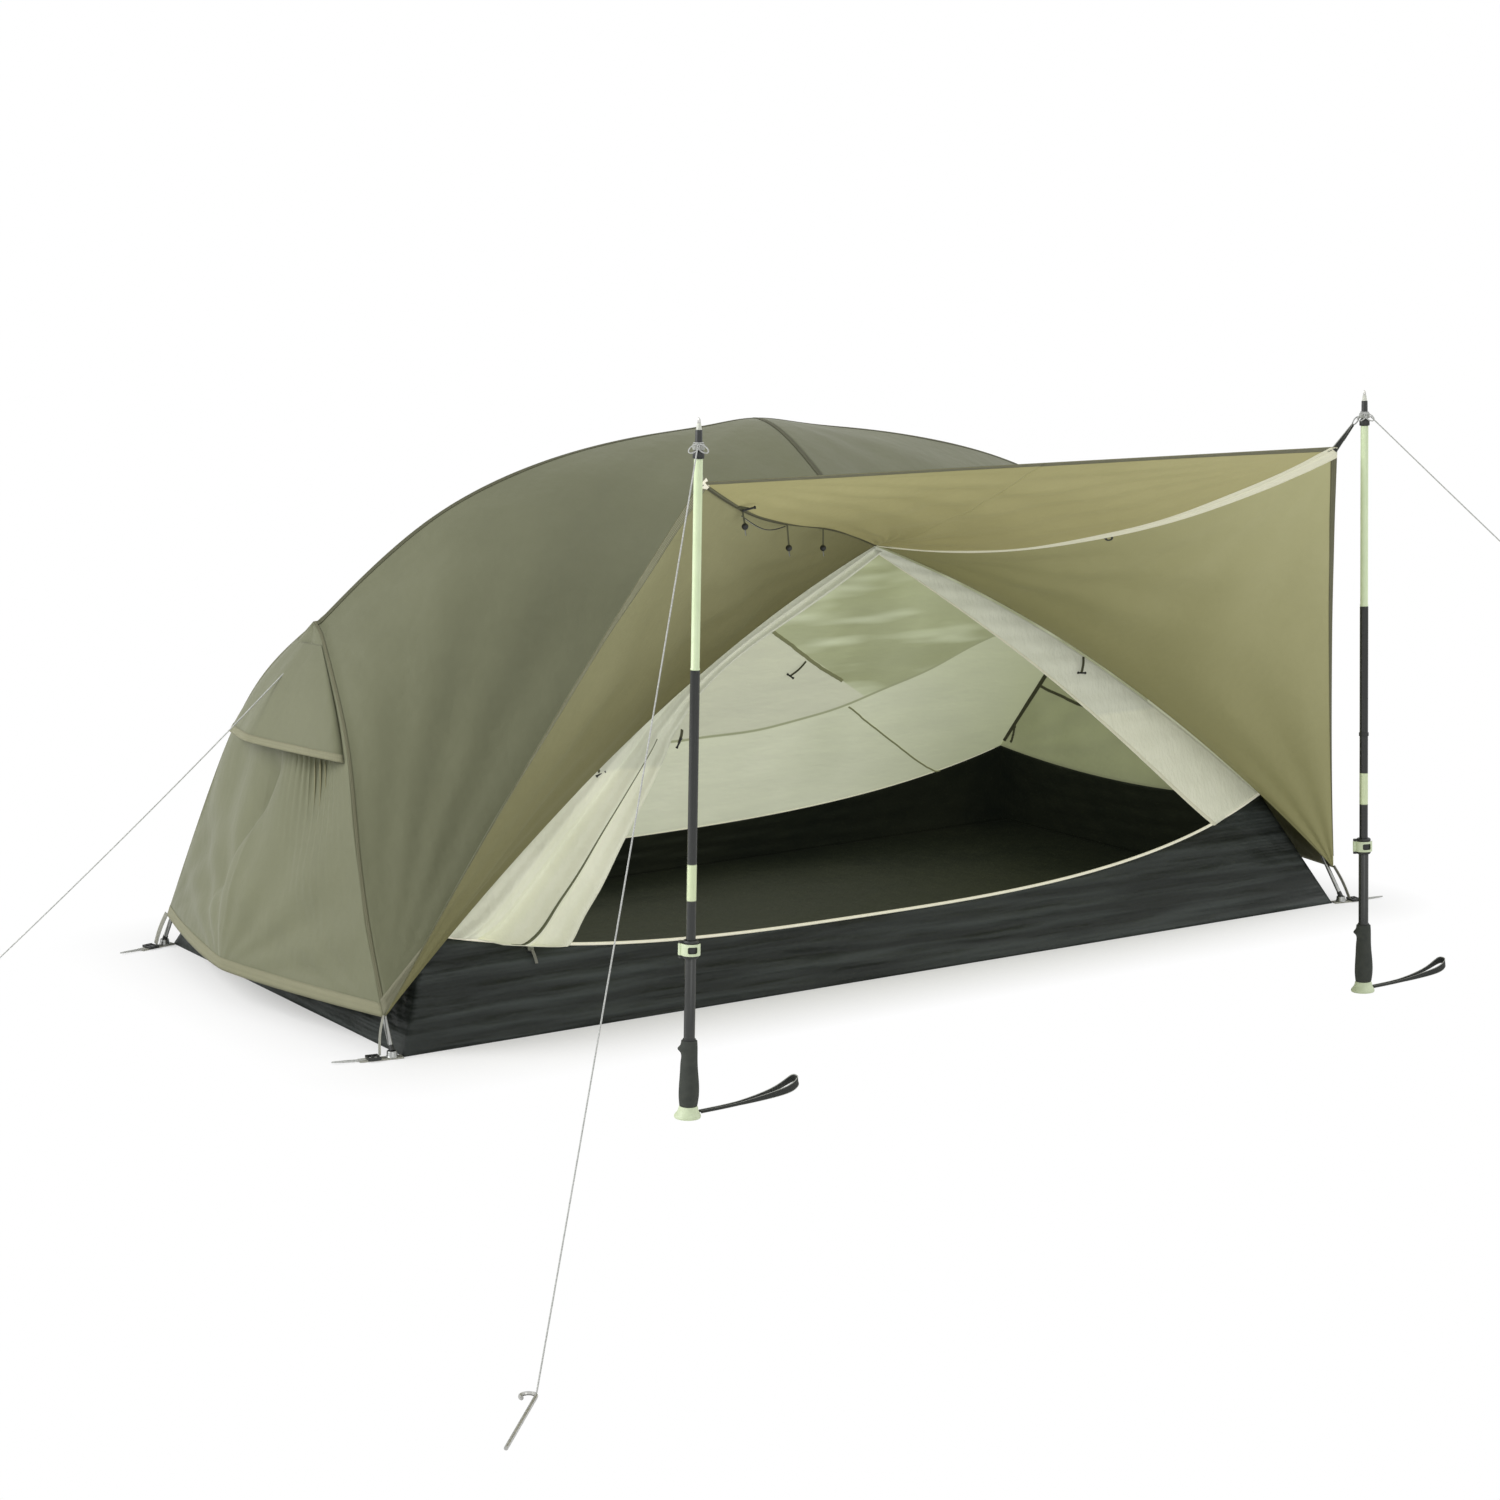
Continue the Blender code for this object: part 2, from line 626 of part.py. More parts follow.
def inner_tent():
    tub()
    columns = RIM_STATIONS
    ridge = inner_ridge(columns)
    front = inner_front_edge(columns)
    opening = inner_opening_edge(columns)
    trim = 0.0012
    rows = np.linspace(0.0, 1.0, 3)[:, None, None]
    strip = (1 - rows) * front[None] + rows * opening[None]
    panel("inner_front", trimmed(strip, top=trim), CREAM)
    ends = {}
    for end, column in ((-1, 0), (1, -1)):
        for side in (-1, 1):
            base = tub_corner(end, side) + RIM_SEAT
            ends[end, side] = straight(ridge[column], base, 9)
    roof = coons(ridge, front, ends[-1, -1], ends[1, -1])
    rear_low = long_rim(1) + RIM_SEAT
    rear = coons(ridge, rear_low, ends[-1, 1], ends[1, 1])
    canopy = np.concatenate([roof[::-1], rear[1:]], axis=0)
    panel("inner_canopy", trimmed(canopy, trim, 0.0, trim, trim), CREAM)
    for end, name in ((-1, "inner_foot"), (1, "inner_head")):
        low = end_rim(end) + RIM_SEAT
        top = np.repeat(ends[end, -1][:1], END_STATIONS, axis=0)
        wall = coons(top, low, ends[end, -1], ends[end, 1])
        panel(name, trimmed(wall, 0.003, 0.0, trim, trim), CREAM)
    door_bunch(opening)


def door_bunch(opening):
    """The open door, drawn to the foot side and tied back."""
    rows = 9
    edge = resample(opening[:11], 40)[2:27]
    edge = resample(edge, rows)
    t = np.linspace(0.0, 1.0, rows)
    width = 0.24 - 0.16 * t + 0.02 * np.sin(math.pi * t)
    left = edge + np.array([0.004, 0.0099, 0.0])
    right = left + np.stack([width, 0.02 + 0 * t, -0.02 * t], axis=1)
    low = DOOR_BUNCH_THICK / 2 + 0.004
    left[:, 2] += low
    right[:, 2] += low
    right[0, 2] = left[0, 2]
    s = np.linspace(0.0, 1.0, 7)[None, :, None]
    sheet = (1 - s) * left[:, None] + s * right[:, None]
    folds = 0.006 * np.sin(s * math.pi * 5)
    sheet[:, :, 1:2] += folds
    panel("inner_door", sheet, CREAM, DOOR_BUNCH_THICK)


def slider_path():
    """Where the zip slider rests on the front wall, and the way it runs."""
    x = np.array([SLIDER_X, SLIDER_X + SLIDER_RUN])
    start, stop = wall_point(x, -half_width(x), rim_height(x, -1) - SLIDER_DROP)
    return start, unit(stop - start)


def door_slider():
    """Zip slider on the leaning face of the tub, just under its top edge."""
    at, way = slider_path()
    upwards = unit(np.array([0.0, TUB_SLOPE, 1.0]))
    outwards = unit(np.cross(way, upwards))
    upwards = np.cross(outwards, way)
    at = at + outwards * SLIDE_GAP
    place = Matrix(np.vstack([np.column_stack([way, upwards, outwards, at]), [0, 0, 0, 1]]).tolist())
    outline = [(-0.006, -0.004), (0.006, -0.0055), (0.006, 0.0055), (-0.006, 0.004)]
    return extruded("door_slider", outline, SLIDER_DEPTH, ALLOY, place)


# Fly and awning

def fly():
    trim = SEAM_TRIM
    panel("fly_front_left", trimmed(body_sheet(-1, -1), trim, trim, trim, END_TRIM), OLIVE)
    panel("fly_front_right", trimmed(body_sheet(1, -1), trim, trim, trim, END_TRIM), OLIVE)
    left = body_sheet(-1, 1)
    right = body_sheet(1, 1)[:, ::-1]
    rear = np.concatenate([left, right[:, 1:]], axis=1)
    panel("fly_rear", trimmed(rear, trim, 0.0, trim, trim), OLIVE)
    for end, name in ((-1, "fly_foot_end"), (1, "fly_head_end")):
        panel(name, trimmed(end_sheet(end), 0.006, 0.0, trim, trim), OLIVE)
    vent()


def end_frame(sheet):
    """Outward normals of an end panel."""
    along = unit(np.gradient(sheet, axis=1) + 1e-12)
    down = unit(np.gradient(sheet, axis=0) + 1e-12)
    normal = unit(np.cross(down, along))
    return normal * np.sign(normal[-3:-2, 5:6, 0:1]) * -1.0


def hood_sheet():
    """The hood stands out from the end panel, most at the middle of its free edge."""
    fine = end_sheet(-1, 25, 15)
    normal = end_frame(fine)
    first, last = 2, 12
    wall = fine[first:last, 1:14]
    out = normal[first:last, 1:14]
    v = np.linspace(0.0, 1.0, last - first)[:, None, None]
    u = np.linspace(-1.0, 1.0, 13)[None, :, None]
    stand = 0.0022 + HOOD_STAND * v ** 1.2 * (1 - u ** 2) ** 0.6
    return wall + out * stand, wall, out


def vent():
    """Hood over the vent in the foot end, and the strut that props it open."""
    sheet, wall, normal = hood_sheet()
    panel("vent_hood", sheet, OLIVE)
    column = 5
    ball = PROP_BALL_RADIUS
    root = wall[-3, column] + normal[-3, column] * (FABRIC / 2 + SEAM_GAP + ball)
    head = root + np.array([-1.0, 0.0, 0.10])
    shaft = ball - 0.0008
    profile = [(0, -ball), *((ball * math.cos(a), ball * math.sin(a)) for a in np.radians([-60, -30, 0, 30])),
               (shaft, ball), (shaft, PROP_LENGTH - 0.004), (ball, PROP_LENGTH - 0.003),
               (ball, PROP_LENGTH - 0.001), (0, PROP_LENGTH)]
    turned("vent_prop", profile, PLASTIC, root, head, 10)


def awning():
    trim = SEAM_TRIM
    for end, word in ((-1, "left"), (1, "right")):
        panel("awning_%s_wing" % word, trimmed(awning_wing(end), 0.012, trim, trim, 0.0), GOLD)
        sheet = awning_ceiling(end)
        panel("awning_ceiling_%s" % word, trimmed(sheet, 0.012, 0.0, END_TRIM, trim), GOLD)


# Frame

def frame():
    ridge = ridge_line(200)
    span = ridge[:, 0]
    start = FOOT_HUB[0] + HUB_SLEEVE_LENGTH - HUB_SOCKET_DEPTH
    stops = (start, RIDGE_JOINT_X, HEAD_HUB[0] - HUB_SLEEVE_LENGTH + HUB_SOCKET_DEPTH)
    names = ("ridge_pole_foot", "ridge_pole_head")
    for name, low, high in zip(names, stops, stops[1:]):
        x = np.linspace(low + SEAM_GAP / 2, high - SEAM_GAP / 2, 18)
        line = np.stack([x, 0 * x, np.interp(x, span, ridge[:, 2])], axis=1)
        tube(name, line, POLE_RADIUS, ALLOY)
    for end, word in ((-1, "foot"), (1, "head")):
        for side, place in ((-1, "front"), (1, "rear")):
            line = leg_line(end, side, 60)
            walked = np.concatenate([[0], np.cumsum(np.linalg.norm(np.diff(line, axis=0), axis=1))])
            keep = walked > HUB_SLEEVE_LENGTH - HUB_SOCKET_DEPTH
            tube("leg_pole_%s_%s" % (word, place), resample(line[keep], 15), POLE_RADIUS, ALLOY)
        hub(end, word)
    tube("brow_pole", brow_line(25), BROW_RADIUS, ALLOY)
    low = float(ridge_height(BROW_X)) + POLE_RADIUS + SEAM_GAP
    high = low + BROW_RISE - POLE_RADIUS - BROW_RADIUS - 4 * SEAM_GAP
    turned("brow_hub", [(0, 0), (0.0085, 0), (0.0095, 0.001), (0.0095, high - low - 0.001),
                        (0.0085, high - low), (0, high - low)], PLASTIC,
           (BROW_X, 0, low), (BROW_X, 0, high), 16)
    for name, x in (("ridge_clip_foot", -0.55), ("ridge_clip_head", 0.55)):
        clip(name, x)


def hub(end, word):
    """Y-shaped hub: three bored sleeves on a ball."""
    centre = np.array(FOOT_HUB if end < 0 else HEAD_HUB)
    ridge = ridge_line(200)
    inward = ridge[12] - centre if end < 0 else ridge[-13] - centre
    ways = [unit(inward), unit(leg_line(end, -1, 60)[4] - centre), unit(leg_line(end, 1, 60)[4] - centre)]
    middle = [(HUB_BALL_RADIUS * math.cos(a), HUB_BALL_RADIUS * math.sin(a))
              for a in np.radians([-66, -44, -22, 0, 22, 44, 66])]
    body = turned("hub_" + word, [(0, -HUB_BALL_RADIUS), *middle, (0, HUB_BALL_RADIUS)], PLASTIC,
                  centre, centre + np.array([0.0, 0.0, 1.0]), 15)
    radius, length = HUB_SLEEVE_RADIUS, HUB_SLEEVE_LENGTH
    bore, seat = POLE_RADIUS + 0.0009, HUB_SLEEVE_LENGTH - HUB_SOCKET_DEPTH - 0.001
    profile = [(0, 0), (radius, 0), (radius, length - 0.002), (radius - 0.001, length), (bore, length),
               (bore, seat), (0, seat)]
    for number, way in enumerate(ways):
        sleeve = turned("hub_%s_sleeve_%d" % (word, number), profile, PLASTIC, centre, centre + way, 12)
        join_with(body, sleeve, "UNION")


def clip(name, x):
    """C-shaped clip on the ridge pole, with a tail down to the inner tent."""
    inner_radius = POLE_RADIUS + 0.0007
    outer_radius = inner_radius + 0.0022
    slope = (ridge_height(x + 0.01) - ridge_height(x - 0.01)) / 0.02
    tail = CLIP_DROP * math.cos(math.atan(slope)) - FABRIC / 2 - 0.0014
    outline = [*arc((0, 0), outer_radius, 140, 255, 9), (-0.0028, -tail), (0.0028, -tail),
               *arc((0, 0), outer_radius, 285, 400, 9), *arc((0, 0), inner_radius, 40, -220, 17)]
    place = (Matrix.Translation((x, 0.0, float(ridge_height(x))))
             @ Matrix.Rotation(-math.atan(slope), 4, "Y")
             @ Matrix.Rotation(math.radians(90), 4, "Z") @ Matrix.Rotation(math.radians(90), 4, "X")
             @ Matrix.Translation((0, 0, -0.006)))
    extruded(name, outline, 0.012, PLASTIC, place)


# Trekking poles

def along(foot, tip, height):
    """The point of a pole's axis at a height along it."""
    base, top = Vector(foot), Vector(tip)
    return base + (top - base).normalized() * height


def trekking_pole(word, foot, tip):
    """One upturned trekking pole, grip on the ground and tip in the awning's loop."""
    def piece(part, profile, finish, sides=16):
        return turned("%s_pole_%s" % (word, part), profile, finish, foot, tip, sides)

    rise = CAP_HEIGHT + SLIDE_GAP
    piece("cap", [(0, 0), (CAP_RADIUS - 0.001, 0), (CAP_RADIUS, 0.0025), (CAP_RADIUS - 0.002, 0.007), (0.0170, 0.013),
                  (0.0155, CAP_HEIGHT), (0, CAP_HEIGHT)], LIME)
    inner = HANDLE_TUBE_RADIUS + SLIDE_GAP
    piece("grip", [(inner, rise), (0.0150, rise), (0.0168, rise + 0.012), (GRIP_RADIUS, rise + 0.040),
                   (0.0148, rise + 0.062), (0.0152, rise + 0.078), (0.0178, rise + 0.088),
                   (0.0150, rise + 0.097), (0.0142, GRIP_HEIGHT), (inner, GRIP_HEIGHT)], FOAM)
    bore = HANDLE_TUBE_RADIUS - HANDLE_TUBE_WALL
    piece("handle_tube", [(bore, rise), (HANDLE_TUBE_RADIUS, rise), (HANDLE_TUBE_RADIUS, LOCK_Z + 0.012),
                          (bore, LOCK_Z + 0.012)], TUBE)
    lock_low = LOCK_Z - LOCK_HEIGHT / 2
    lock_high = LOCK_Z + LOCK_HEIGHT / 2
    clamp = piece("lock_clamp", [(inner, lock_low), (LOCK_RADIUS, lock_low), (LOCK_RADIUS + 0.001, lock_low + 0.002),
                         (LOCK_RADIUS + 0.001, lock_high - 0.002), (LOCK_RADIUS, lock_high),
                         (inner, lock_high)], TUBE)
    lower_end = LOCK_Z - UPPER_OVERLAP
    slide = UPPER_TUBE_RADIUS
    thin = slide - 0.0010
    piece("upper_tube", [(thin, lower_end), (slide, lower_end), (slide, LIME_START), (thin, LIME_START)], TUBE)
    piece("lime_tube", [(0, LIME_START + SLIDE_GAP), (LIME_RADIUS + 0.0006, LIME_START + SLIDE_GAP),
                        (LIME_RADIUS, LIME_START + 0.004), (LIME_RADIUS, FERRULE_START - SLIDE_GAP),
                        (0, FERRULE_START - SLIDE_GAP)], LIME)
    end = (Vector(tip) - Vector(foot)).length
    piece("ferrule_tip", [(0, FERRULE_START), (SEAT_RING_RADIUS, FERRULE_START),
                          (SEAT_RING_RADIUS, FERRULE_START + 0.011), (FERRULE_RADIUS, FERRULE_START + 0.013),
                          (FERRULE_RADIUS - 0.0006, end - TIP_LENGTH - 0.002), (0.0034, end - TIP_LENGTH),
                          (0.0030, end - 0.003), (0.0012, end), (0, end)], TUBE)
    lock_lever(word, foot, tip, clamp)
    wrist_strap(word, foot)


def lock_lever(word, foot, tip, clamp):
    """Lever that wraps the clamp and swings out about the clamp's pin."""
    place = upright(along(foot, tip, LOCK_Z), tip)
    reach = LOCK_RADIUS + 0.001 + SLIDE_GAP
    barrel = LEVER_PIN_RADIUS + SLIDE_GAP + 0.0016
    pin_reach = LOCK_RADIUS + 0.001 + SLIDE_GAP + barrel
    angle = math.radians(LEVER_PIN_ANGLE)
    centre = Vector((pin_reach * math.cos(angle), pin_reach * math.sin(angle), 0.0))
    half = LEVER_HEIGHT / 2

    def post(name, radius, low, high, finish):
        start = place @ (centre + Vector((0, 0, low)))
        return turned(name, [(0, 0), (radius, 0), (radius, high - low), (0, high - low)], finish,
                      start, place @ (centre + Vector((0, 0, high))), 14)

    pin = post("%s_pin" % word, LEVER_PIN_RADIUS, 0.001 - LOCK_HEIGHT / 2, LOCK_HEIGHT / 2 - 0.001, TUBE)
    join_with(clamp, pin, "UNION")
    for number, (low, high) in enumerate(((0.0005 - LOCK_HEIGHT / 2, -half - SLIDE_GAP),
                                          (half + SLIDE_GAP, LOCK_HEIGHT / 2 - 0.0005))):
        ear_outline = [(LOCK_RADIUS - 0.001, -0.0028), *arc((pin_reach, 0.0), 0.0032, -90, 90, 9),
                       (LOCK_RADIUS - 0.001, 0.0028)]
        ear = extruded("%s_ear_%d" % (word, number), ear_outline, high - low, TUBE,
                       place @ Matrix.Rotation(angle, 4, "Z") @ Matrix.Translation((0, 0, low)))
        join_with(clamp, ear, "UNION")
    start, stop = LEVER_PIN_ANGLE + 4, LEVER_PIN_ANGLE + LEVER_WRAP
    outer = arc((0, 0), reach + LEVER_THICK, start, stop, 15)
    inner = arc((0, 0), reach, stop, start, 15)
    lever = extruded("%s_pole_lock_lever" % word, [*outer, *inner], LEVER_HEIGHT, LIME,
                     place @ Matrix.Translation((0, 0, -half)))
    knuckle = post("%s_knuckle" % word, barrel, -half, half, LIME)
    join_with(lever, knuckle, "UNION")
    bore = post("%s_bore" % word, LEVER_PIN_RADIUS + SLIDE_GAP, -half - 0.002, half + 0.002, LIME)
    join_with(lever, bore, "DIFFERENCE")


def wrist_strap(word, foot):
    """Flat loop of webbing lying on the ground beside the grip."""
    wide, long = 0.016, 0.20
    ribbon = 0.010
    x0 = foot[0] + CAP_RADIUS + SLIDE_GAP
    outer = [(0.0, -wide * 0.5), *arc((long - wide, 0.0), wide, -90, 90, 13), (0.0, wide * 0.5)]
    hole = [(ribbon, -wide * 0.5 + 0.003), *arc((long - wide, 0.0), wide - ribbon * 0.7, -90, 90, 11),
            (ribbon, wide * 0.5 - 0.003)]
    place = Matrix.Translation((x0, foot[1], 0.0))
    extruded("%s_pole_wrist_strap" % word, outer, 0.0030, WEBBING, place, holes=(hole,))


def awning_tab(word, foot, tip, corner):
    """Webbing loop from the awning's corner to its ring round the pole's ferrule."""
    height = FERRULE_START + 0.0135
    centre = along(foot, tip, height)
    ring = turned("awning_tab_" + word, [(FERRULE_RADIUS + 0.0006, 0), (0.0098, 0), (0.0098, 0.010),
                                         (FERRULE_RADIUS + 0.0006, 0.010)], WEBBING,
                  centre, along(foot, tip, height + 0.01), 18)
    target = np.array(corner) + np.array([0.0, 0.0024, 0.0010])
    start = np.array(centre) + np.array([0.0, 0.0, 0.005])
    way = unit((target - start) * np.array([1.0, 1.0, 0.0]))
    route = [start + way * 0.0090, start + way * 0.0125, start + way * 0.0150 - np.array([0.0, 0.0, 0.004]), target]
    strip = tube("awning_tab_%s_strip" % word, route, 0.0016, WEBBING, 8)
    join_with(ring, strip, "UNION")
    return ring


# Cords and the stakes that hold them

def cord_route(start, stake, sag=0.012, count=20):
    """A taut line that sags a little under its own weight."""
    t = np.linspace(0.0, 1.0, 7)
    line = straight(start, stake, 7)
    line[:, 2] -= sag * 4 * t * (1 - t)
    return smooth_curve(line, count)


def cord(name, line):
    """A cord as a bevelled curve with filled ends."""
    curve = bpy.data.curves.new(name, "CURVE")
    curve.dimensions = "3D"
    curve.bevel_depth = CORD_RADIUS
    curve.bevel_resolution = 2
    curve.use_fill_caps = True
    curve.render_resolution_u = 0
    spline = curve.splines.new("POLY")
    spline.points.add(len(line) - 1)
    for point, place in zip(spline.points, line):
        point.co = (*place, 1.0)
    made = bpy.data.objects.new(name, curve)
    made.data.materials.append(material(*CORD))
    bpy.context.scene.collection.objects.link(made)
    return made


def stake(name, place, heading):
    """A wire stake lying on the ground, its hook towards the tent."""
    radius = STAKE_RADIUS
    straight_part = straight((0, 0, 0), (-STAKE_LENGTH, 0, 0), 3)
    bend = [(0.010 * math.sin(a), 0.010 - 0.010 * math.cos(a), 0.0)
            for a in np.linspace(0.3, math.radians(230), 10)]
    path = np.vstack([straight_part[::-1], bend])
    turn = np.array([[math.cos(heading), -math.sin(heading), 0],
                     [math.sin(heading), math.cos(heading), 0], [0, 0, 1]])
    line = path @ turn.T + np.array([place[0], place[1], radius + 1e-5])
    tube(name, line, radius, ALLOY, 8)


def guylines():
    ends = {
        "left": (along(LEFT_POLE_FOOT, LEFT_POLE_TIP, FERRULE_START + 0.0175), LEFT_STAKE, (-0.0105, -0.0035)),
        "right": (along(RIGHT_POLE_FOOT, RIGHT_POLE_TIP, FERRULE_START + 0.0175), RIGHT_STAKE, (0.0105, -0.0035)),
    }
    for word, (top, ground, shift) in ends.items():
        away = unit(np.array([ground[0] - top[0], ground[1] - top[1]]))
        start = np.array(top) + np.array([away[0], away[1], 0.0]) * 0.0109
        stop = np.array([ground[0], ground[1], 2 * STAKE_RADIUS + CORD_RADIUS])
        cord("guyline_" + word, cord_route(start, stop))
        place = np.array(ground) + away * (STAKE_RADIUS + CORD_RADIUS + 0.0006)
        stake("guy_stake_" + word, place, math.atan2(-away[1], -away[0]))
    hood, _, normal = hood_sheet()
    start = hood[3, 6] + normal[3, 6] * (FABRIC / 2 + CORD_RADIUS + SEAM_GAP)
    stop = np.array([FOOT_STAKE[0], FOOT_STAKE[1], 2 * STAKE_RADIUS + CORD_RADIUS])
    cord("guyline_foot", cord_route(start, stop))
    stake("guy_stake_foot", np.array(FOOT_STAKE) + np.array([-STAKE_RADIUS - CORD_RADIUS - 0.0006, 0.0]), 0.0)


def main():
    clear_scene()
    inner_tent()
    door_slider()
    fly()
    awning()
    frame()
    for end, word in ((-1, "foot"), (1, "head")):
        for side, place in ((-1, "front"), (1, "rear")):
            strap("corner_strap_%s_%s" % (word, place), end, side)
    trekking_pole("left", LEFT_POLE_FOOT, LEFT_POLE_TIP)
    trekking_pole("right", RIGHT_POLE_FOOT, RIGHT_POLE_TIP)
    awning_tab("left", LEFT_POLE_FOOT, LEFT_POLE_TIP, AWNING_LEFT)
    awning_tab("right", RIGHT_POLE_FOOT, RIGHT_POLE_TIP, AWNING_RIGHT)
    guylines()


main()
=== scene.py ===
# %% [markdown]
# A small backpacking tent stands pitched with its front panel raised as an awning on two upturned trekking
# poles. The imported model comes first. It is the fixed frame: every cloth panel, pole and cord below is
# worked out in its metres, with +X from the foot end to the head end, +Y away from the awning and +Z up.

# %% Load the fixed frame
import json
import math
import bpy
import numpy as np
from mathutils import Matrix, Vector

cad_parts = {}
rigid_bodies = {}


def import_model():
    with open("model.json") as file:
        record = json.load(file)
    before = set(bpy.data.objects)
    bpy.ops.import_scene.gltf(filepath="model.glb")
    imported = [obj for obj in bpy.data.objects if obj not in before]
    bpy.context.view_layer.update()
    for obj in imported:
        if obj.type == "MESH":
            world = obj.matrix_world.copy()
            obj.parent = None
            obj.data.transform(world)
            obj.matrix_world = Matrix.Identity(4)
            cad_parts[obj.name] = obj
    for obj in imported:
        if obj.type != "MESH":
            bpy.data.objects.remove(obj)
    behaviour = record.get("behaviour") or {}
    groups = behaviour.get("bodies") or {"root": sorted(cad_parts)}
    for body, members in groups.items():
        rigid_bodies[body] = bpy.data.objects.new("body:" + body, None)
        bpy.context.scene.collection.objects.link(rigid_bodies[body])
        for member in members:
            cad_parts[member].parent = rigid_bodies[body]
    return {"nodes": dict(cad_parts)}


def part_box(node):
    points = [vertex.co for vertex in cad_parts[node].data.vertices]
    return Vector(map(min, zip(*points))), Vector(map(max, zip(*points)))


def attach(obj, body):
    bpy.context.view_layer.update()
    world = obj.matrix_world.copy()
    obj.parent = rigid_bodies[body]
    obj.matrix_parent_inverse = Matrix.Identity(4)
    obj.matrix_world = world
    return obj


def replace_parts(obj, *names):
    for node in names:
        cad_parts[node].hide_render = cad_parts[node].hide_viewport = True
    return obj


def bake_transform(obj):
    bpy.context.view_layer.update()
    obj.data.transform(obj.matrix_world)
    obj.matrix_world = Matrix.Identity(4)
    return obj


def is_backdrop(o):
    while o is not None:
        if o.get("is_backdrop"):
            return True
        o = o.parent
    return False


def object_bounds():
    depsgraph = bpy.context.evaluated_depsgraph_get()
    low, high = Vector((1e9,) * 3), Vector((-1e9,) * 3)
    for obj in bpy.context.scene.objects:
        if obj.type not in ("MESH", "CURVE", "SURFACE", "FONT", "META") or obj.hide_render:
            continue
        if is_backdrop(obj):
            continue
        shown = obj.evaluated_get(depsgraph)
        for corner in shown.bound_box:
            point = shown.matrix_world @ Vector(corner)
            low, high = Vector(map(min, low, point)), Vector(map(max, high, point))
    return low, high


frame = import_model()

BOX_BEFORE = [list(corner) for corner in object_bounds()]
FRONT, REAR, FOOT, HEAD = -1, 1, -1, 1
ENDS = ((FOOT, "foot"), (HEAD, "head"))
SIDES = ((FRONT, "front"), (REAR, "rear"))
LEFT_RIGHT = (("left", FOOT), ("right", HEAD))
X, Y, Z = np.eye(3)

# %% [markdown]
# The camera stands where the photographer stood. Its place, turn and focal length were worked out
# beforehand from the floor's corners and the two poles, by matching their places in the picture. A matrix
# whose columns are right, up and backwards sets both the place and the turn at once.

# %% Stand the camera at the photographer's place
YAW, PITCH = 0.5964, 0.1740
SENSOR, PHOTO_WIDTH, FOCAL_PIXELS = 36.0, 1500.0, 2919.04
FOCAL = SENSOR * FOCAL_PIXELS / PHOTO_WIDTH
EYE = np.array([-3.4235, -4.9945, 1.4323])


def camera_axes(yaw, pitch):
    """Right, up and forward of a camera turned by yaw about +Z and tipped down by pitch."""
    forward = np.array([math.sin(yaw) * math.cos(pitch), math.cos(yaw) * math.cos(pitch), -math.sin(pitch)])
    right = np.array([math.cos(yaw), -math.sin(yaw), 0.0])
    return right, np.cross(right, forward), forward


right, up, forward = camera_axes(YAW, PITCH)
lens = bpy.data.cameras.new("photographer")
lens.sensor_width, lens.lens, lens.clip_end = SENSOR, FOCAL, 60.0
camera = bpy.data.objects.new("photographer", lens)
bpy.context.collection.objects.link(camera)
columns = np.column_stack([right, up, -forward, EYE])
camera.matrix_world = Matrix(np.vstack([columns, [0, 0, 0, 1]]).tolist())
bpy.context.scene.camera = camera
print("camera: focal length %.1f mm" % FOCAL)

# %% [markdown]
# Shader maths reads best as plain formulas. This small class wraps one socket, and its operators add Math
# nodes, so `1 - mask * 0.3` builds the two nodes that it says. Everything else, from noise to colour
# mixing, goes through one method that sets a node's own choices first and then feeds its sockets.

# %% A socket that does maths
class Sock:
    def __init__(self, tree, socket):
        self.tree, self.socket = tree, socket

    def node(self, kind, settings=None, out=0, **inputs):
        """Adds one node. settings are its own choices, and inputs are its sockets by name or by _number."""
        made = self.tree.nodes.new(kind)
        for key, value in (settings or {}).items():
            setattr(made, key, value)
        for key, value in inputs.items():
            socket = made.inputs[int(key[1:]) if key[0] == "_" else key.replace("_", " ")]
            if isinstance(value, Sock):
                self.tree.links.new(value.socket, socket)
            else:
                socket.default_value = (*value, 1.0) if socket.type == "RGBA" else value
        return Sock(self.tree, made.outputs[out])

    def math(self, operation, *values, clamp=False):
        return self.node("ShaderNodeMath", {"operation": operation, "use_clamp": clamp},
                         **{"_%d" % k: v for k, v in enumerate(values)})

    def __add__(self, other): return self.math("ADD", self, other)
    def __radd__(self, other): return self.math("ADD", other, self)
    def __sub__(self, other): return self.math("SUBTRACT", self, other)
    def __rsub__(self, other): return self.math("SUBTRACT", other, self)
    def __mul__(self, other): return self.math("MULTIPLY", self, other)
    def __pow__(self, other): return self.math("POWER", self, other)
    def sin(self): return self.math("SINE", self)
    def abs(self): return self.math("ABSOLUTE", self)

    def above(self, edge, soft=0.001):
        """0 below the edge and 1 above it, with a soft step between."""
        return self.math("DIVIDE", self - (edge - soft), 2 * soft, clamp=True)

    def axis(self, letter):
        return self.node("ShaderNodeSeparateXYZ", None, "XYZ".index(letter), Vector=self)

    def noise(self, scale, detail=2.0, rough=0.5, stretch=None):
        where = self.node("ShaderNodeMapping", None, Vector=self, Scale=stretch) if stretch else self
        return self.node("ShaderNodeTexNoise", None, 0, Vector=where, Scale=scale, Detail=detail,
                         Roughness=rough)

    def mix(self, low, high):
        """The colour low where this value is 0 and high where it is 1."""
        return self.node("ShaderNodeMix", {"data_type": "RGBA"}, 2, _0=self, _6=low, _7=high)


